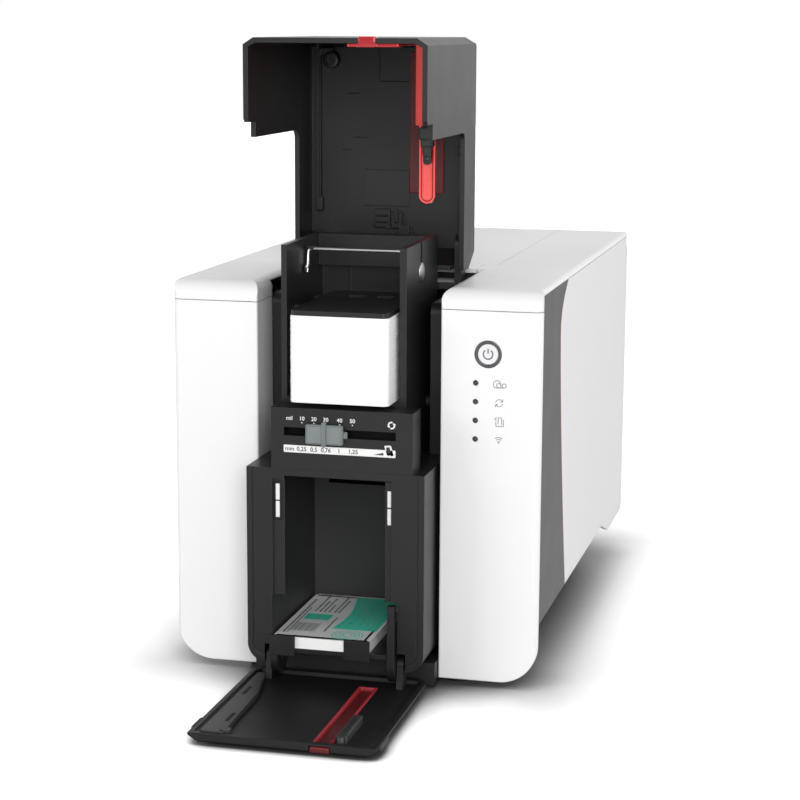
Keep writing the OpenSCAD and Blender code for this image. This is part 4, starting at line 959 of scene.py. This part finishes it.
# %% Slider
x, y, z = span("gauge_slider")
rib_x = x[0] + 10.15
plate_z = (z[0] + 1.5, z[1] - 1.5)
slider_parts = slabs(
    "y", ((x[0], x[0] + 20.3), (y[0] + 1.4, y[0] + 4.2), plate_z, 0.9, 0.45),
    (about(rib_x, 1.1), (y[0], y[0] + 4.1), (z[0] + 0.9, z[1]), 0.5, 0.4),
    (about(rib_x, 0.6), (y[0] + 0.8, y[0] + 3.6), (z[0], z[0] + 2.5), 0.5, 0.4),
    ((x[0] + 20, x[0] + 22.5), (y[0] + 2.8, y[0] + 4.2), (z[0] + 5, z[1] - 4.8), 0.5, 0.3),
    (about(rib_x, 9), (y[1] - 2.2, y[1]), (z[0] + 3, z[1] - 2), 0.8, 0.3),
    (about(rib_x, 7), (y[0] + 3.6, y[1] - 2), (z[0] + 5.2, z[1] - 4.2), 0.4, 0.2))
make("thickness_slider", slider_parts, "slider", "slider_grey", ["gauge_slider"])

# %% [markdown]
# ## Level marks
# Beside the mouth of the hopper small white bars show how full it is. Each bar sits in a
# shallow black frame.

# %% Level marks
x, y, z = span("level_marks")
half_z = sum(z) / 2
marks = [slab(sides, depth, heights, 0.3, 0.12, "y")
         for sides, depth, low in (((x[0], x[0] + 2.2), (y[0], y[0] + 0.3), z[0]),
                                   ((x[1] - 2.4, x[1] - 0.1), (y[1] - 0.3, y[1]), z[0] - 1))
         for heights in ((low, low + half_z - z[0] - 0.35),
                         (low + half_z - z[0] + 0.35, low + z[1] - z[0]))]
make("white_level_bars", marks, "body", "mark_white", ["level_marks"])
sides, level = (x[0] - 0.9, x[0] + 3.1), y[0] + 0.1
frame_path = bent([(sides[0], level, z[0] - 1), (sides[1], level, z[0] - 1),
                   (sides[1], level, z[1] + 1), (sides[0], level, z[1] + 1)], 0.6, 4, loop=True)
make("level_mark_frame", [swept(circle(0.4, 8), frame_path, loop=True)],
     "body", "black_plastic", finish="door_plastic")

# %% [markdown]
# ## The red strip in the cover
# The strip runs down the inside of the cover's back wall: a clear red channel with a
# round end, a raised lens there, and a thin flange on each side. The flanges are painted a
# darker red, painted shade for clear plastic with nothing bright behind it, and the bar,
# rim and lens a brighter, glowing red, painted light. Another length crosses the upper
# wall and comes out at the front as a tab to press.

# %% Cover strip
x, y, z = span("cover_window")
back, cover_top = y[1], z[1] - 0.8
channel = (x[0] + 11.3, x[0] + 20.6)
channel_x = sum(channel) / 2
roof = cover_top - 2.8
flanges = [slab(sides, (back - 3.9, back - 2.6), (z[0] + 6, roof - 6), 0.5, 0.3, "y")
           for sides in ((channel[0] - 5.6, channel[0] + 0.3),
                         (channel[1] - 0.3, channel[1] + 4.6))]
strip_parts = slabs(
    "y", (channel, (back - 4.6, back), (z[0], roof - 5.4), 4.6, 0.5),
    (channel, (back - 5.5, back - 2.7), (roof - 17, roof - 0.2), 1, 0.4))
strip_parts += slabs(
    "z", ((channel[0], channel[1] - 2.4), (y[0] + 7.6, back - 6.5),
          (roof - 1.6, roof - 0.1), 0.6, 0.3),
    (x, (y[0] + 1.2, y[0] + 7.7), (roof - 1.7, roof - 0.1), 1.2, 0.4),
    ((x[0] + 6.2, x[0] + 15.6), (y[0], y[0] + 6.4), (roof - 1.8, z[1]), 0.8, 0.5))
bar = slab((channel[0] - 2.2, channel[1]), (back - 5.9, back - 2.7),
           (z[0] + 44, roof - 0.2), 1, 0.6, "y")
rim_r, rim_z, rim_top = 4.15, z[0] + 4.65, roof - 17
rim_path = [(channel_x - rim_r, rim_top), *arc(channel_x, rim_z, rim_r, 180, 360, 25),
            (channel_x + rim_r, rim_top)]
rim = swept(circle(0.55, 10), np.insert(rim_path, 1, back - 4.9, axis=1))
raised_lens = slab(about(channel_x, 2.9), (back - 5.6, back - 4.4),
                   (z[0] + 1.7, z[0] + 29), 2.9, 0.7, "y")
# Darker red on the flanges is painted shade; the brighter, glowing red of bar, rim and lens is
# painted light.
make("cover_flanges", flanges, "cover", "red_window", finish="red_deep")
make("cover_strip", strip_parts, "cover", "red_window", ["cover_window"])
make("cover_strip_bar", [bar], "cover", "red_window", finish="red_bar")
make("cover_strip_rim", [rim], "cover", "red_window", finish="red_lens")
make("cover_strip_lens", [raised_lens], "cover", "red_window", finish="red_lens")

# %% [markdown]
# ## The latch on the strip
# A dark grey catch slides on the strip. It has a grip block, a spring tongue with a slot
# and a small round button.

# %% Latch
x, y, z = span("cover_latch")
latch_parts = slabs(
    "y", ((x[0] + 0.3, x[1] - 1.2), y, (z[1] - 8.5, z[1] - 1.2), 1.2, 0.6),
    ((x[0] + 2, x[1]), (y[0] + 1.2, y[1] - 1), (z[1] - 7, z[1]), 1, 0.6),
    ((x[0] + 1, x[1] - 3.2), (y[0] + 1, y[1]), (z[1] - 12.5, z[1] - 7), 1.2, 0.5),
    ((x[0] + 2.2, x[0] + 7), (y[0] + 2.2, y[1]), (z[0] + 5, z[1] - 11), 2.4, 0.5))
latch_parts.append(turned([(0.01, y[0] + 1.6), (1.3, y[0] + 1.6), (1.7, y[0] + 2),
                           (1.7, y[1] - 2)], (x[0] + 4.6, 0, z[0] + 8.5), sides=24))
make("strip_latch", latch_parts, "cover", "latch_grey", ["cover_latch"])

# %% [markdown]
# ## Inside the cover
# A tall rib stiffens the back wall, which also carries low raised panels and a cluster of
# snap hooks. They are black on black and show only by their edges, so each is a slab
# whose soft edge catches a thin line of light, made brighter by the black plastic's
# painted edge sheen.

# %% Ribs, panels and hooks
x, y, z = span("feeder_cover")
wall = y[1] - 2.7
left_in, right_in = x[0] + 2.7, x[1] - 2.7


def low_slab(sides, heights, proud):
    """A raised field on the cover's back wall, so many millimetres proud."""
    return slab(sides, (wall - proud, wall + 0.5), heights, 0.8, min(0.3, proud * 0.6), "y")


panel_rows = (((-9.6, -9.1), (323, 341), 0.6), ((-9.6, 8), (322.6, 323.2), 0.6),
              ((-12, -2.5), (240, 251), 1.6), ((-1.8, 4.6), (240, 249.5), 2.4),
              ((-12.6, -11.8), (241, 243), 2.6), ((-11, -4), (246.5, 247.3), 2.4),
              ((-11, -4), (242.8, 243.6), 2.4), ((0.2, 2.4), (243, 250.8), 3.2),
              ((-29, -21), (315.7, 316.2), 0.4), ((-31, -26), (283.8, 284.2), 0.4),
              ((-24, -16), (291, 291.4), 0.4))
panels = [low_slab(*row) for row in panel_rows]
ribs = slabs(
    "y", ((left_in + 4.8, left_in + 6), (wall - 3.2, wall + 0.5), (252, 341), 0.5, 0.35),
    ((left_in + 3.6, left_in + 7.2), (wall - 4, wall + 0.5), (249, 257), 1, 0.5),
    ((right_in - 3, right_in + 0.3), (wall - 16, wall - 13), (236, 262), 0.8, 0.5),
    ((right_in - 4.4, right_in + 0.3), (wall - 13, wall - 8), (283, 288), 0.8, 0.5))
boss_at = (x[0] + 15.2, 0, z[1] - 13.2)
bosses = [turned([(0.01, wall - 5.6), (1.4, wall - 5.6), (1.4, wall - 4.2), (2.8, wall - 4.2),
                  (2.8, wall - 5.3), (4.2, wall - 5.3), (4.6, wall - 4.9), (4.6, wall + 0.4)],
                 boss_at, sides=32),
          slab((boss_at[0] - 7, boss_at[0] + 1), (wall - 3, wall + 0.5),
               (boss_at[2] + 2, boss_at[2] + 7), 1.2, 0.5, "y")]
make("cover_inner_ribs", panels + ribs + bosses, "cover", "black_plastic")

# %% [markdown]
# ## The door's strip and rails
# The door lies open at the foot of the printer. Its red strip is a shallow channel, a
# dark floor between bright rims, with a small tab at the door's front edge; floor, tab and
# rims take darker copies of the red, painted shade. A long rail with two catch slots is
# moulded on at the left, and a rounded catch at the right. Rail and catch take a lighter
# grey than the door, painted light, and each slot is a thin black patch on top, painted
# shade.

# %% Door strip
x, y, z = span("door_window")
near_end = y[0] + 2.4
rims = [slab(sides, (near_end, y[1]), (z[0] + 0.2, z[1] + 0.5), 0.5, 0.35)
        for sides in ((x[0] + 0.1, x[0] + 1.6), (x[1] - 1.6, x[1] - 0.1))]
rims += [slab((x[0] + 0.1, x[1] - 0.1), ends, (z[0] + 0.2, z[1] + 0.4), 0.5, 0.35)
         for ends in ((near_end, near_end + 1.4), (y[1] - 1.4, y[1]))]
# Rims in red_dull and the floor in red_deep: darker copies of the red, painted shade.
make("door_strip_rims", rims, "door", "red_window", ["door_window"], "red_dull")
strip_floor = slabs(
    "z", ((x[0] + 1, x[1] - 1), (y[0] + 1, y[1] - 1), (z[0] + 0.1, z[0] + 1.2), 0.5, 0.3),
    ((x[0] + 0.4, x[1] - 0.4), (y[0], y[0] + 2.2), (z[0] - 0.1, z[1] - 0.3), 0.5, 0.3))
make("door_strip_floor", strip_floor, "door", "red_window", finish="red_deep")

# %% Rails and catch
door_x = span("hopper_door")[0]
pan = z[1] - 0.2
under = pan - 0.5
rail_top = pan + 2.8
rail_outline = [(-46.4, -122), (-33.9, -122), (-34.1, -113), (-34.8, -98), (-36, -60),
                (-42.2, -26), (-46.4, -26)]
rail = [pressed(rail_outline, (under, rail_top), 1.2, 0.1)]
rail += slabs("z", ((-36.7, -31.3), (-120.4, -115), (under, rail_top + 0.3), 1.6, 0.2),
              ((door_x[0] - 1.2, door_x[0] + 1), (-116, -102), (4.2, 6.8), 1.1, 0.8),
              ((door_x[1] - 1, door_x[1] + 1.2), (-120, -104), (3.6, 6.8), 1.1, 0.8))
# Each slot is a black patch a hair proud of the rail or catch: painted shade where the recess
# is.
slots = [slab(about(at, 1.05), (along, along + 13), (rail_top - 0.6, rail_top + 0.06),
              0.6, 0.05) for at, along in ((-37.75, -106), (-42.75, -63.5))]
catch_at, catch_top = x[1] + 3.8, pan + 4.5
knob = [(2.8, under), (2.8, catch_top - 0.6), (2.2, catch_top), (0.01, catch_top)]
catch = [slab(about(catch_at, 2.7), (-114.9, -84.1), (under, catch_top), 1.7, 0.9),
         turned(knob, (catch_at + 0.2, -116.4, 0), "z", 28)]
slots.append(slab(about(catch_at, 1.1), (-111, -88),
                  (catch_top - 0.5, catch_top + 0.05), 0.9, 0.05))
# The rail and catch are moulded on the door but take a lighter grey: painted light.
make("door_rail", rail, "door", "black_plastic", finish="rail_grey")
make("door_catches", catch, "door", "black_plastic", finish="rail_grey")
make("door_slots", slots, "door", "black_plastic", finish="painted_slot_shade")

# %% [markdown]
# ## Rivets in the tower
# The bail's pivots end in domed rivet heads on the tower's right side.

# %% Dome
tower_side = span("feeder_tower")[0][1]
rivet = [(5.2, tower_side - 0.3), *dome(5.2, tower_side + 0.1, 1.2, count=9)]
make("pivot_dome", [turned(rivet, (0, *pivot), "x", 32)], "bail", "steel",
     finish="dull_rivet")

# %% [markdown]
# ## The back
# Cross-head screws hold the sheet at the back; each cross recess is a black cross a hair
# proud of the head, painted shade. The power inlet has three flat pins, the square port a
# tongue with four contacts, and the network port eight gold contacts.

# %% Screws
rear = span("rear_panel")[1][1]


def screw(x, z, face):
    """A low domed head on an upright face that looks back, with a black cross through it as
    painted shade for its recess.
    """
    head = turned([(3.1, face - 0.4), *dome(3.1, face, 1.5, 0.15, 7)], (x, 0, z), sides=28)
    cross = [slab(about(x, w), (face + 0.6, face + 1.56), about(z, h), 0.1, 0.05, "y")
             for w, h in ((1.5, 0.3), (0.3, 1.5))]
    return head, cross


screws = [screw(at, height, rear) for at in (-90, 90) for height in (52, 120, 188)]
screws += [screw(at, 44, rear) for at in (-30, 30)]
make("rear_screws", [head for head, _ in screws], "body", "steel")
# Black crosses a hair proud of the heads: painted shade in the recesses.
make("rear_screw_recess_shade", [bit for _, cross in screws for bit in cross], "body", "steel",
     finish="black_print_and_recess_shade")

# %% Pins and contacts
x, y, z = span("power_inlet")
inlet_x, inlet_z = sum(x) / 2, sum(z) / 2
pins = [slab(about(at, 1), (y[1] - 19.8, y[1] - 6), about(height, 2), 0.4, 0.35, "y")
        for at, height in ((inlet_x, inlet_z + 3.2), (inlet_x - 7, inlet_z - 2.6),
                           (inlet_x + 7, inlet_z - 2.6))]
make("inlet_pins", pins, "body", "steel", finish="bright_wire")
x, y, z = span("data_ports")
deep = y[1] - 14
square_x, network_x, port_z = x[0] + 6, x[0] + 23.25, z[0] + 5.5
tongue = [slab(about(square_x, 2.8), (deep, y[1] - 3.5),
               about(port_z, 1.6), 0.3, 0.25, "y"),
          slab(about(network_x, 5.8), (deep - 1.5, y[1] - 5),
               (z[0] + 10.1, z[0] + 11.3), 0.3, 0.2, "y")]
make("port_tongues", tongue, "body", "case_metal", finish="dark_plastic")
contacts = [slab(about(square_x + k, 0.35), (deep, y[1] - 4), about(port_z + s * 1.62, 0.12),
                 0.1, 0.08, "y") for k in (-1.5, 1.5) for s in (-1, 1)]
contacts += [slab(about(network_x + (k - 3.5) * 1.05, 0.25), (deep - 1, y[1] - 4.5),
                  (z[0] + 9.7, z[0] + 10.1), 0.1, 0.08, "y") for k in range(8)]
make("port_contacts", contacts, "body", "brass")
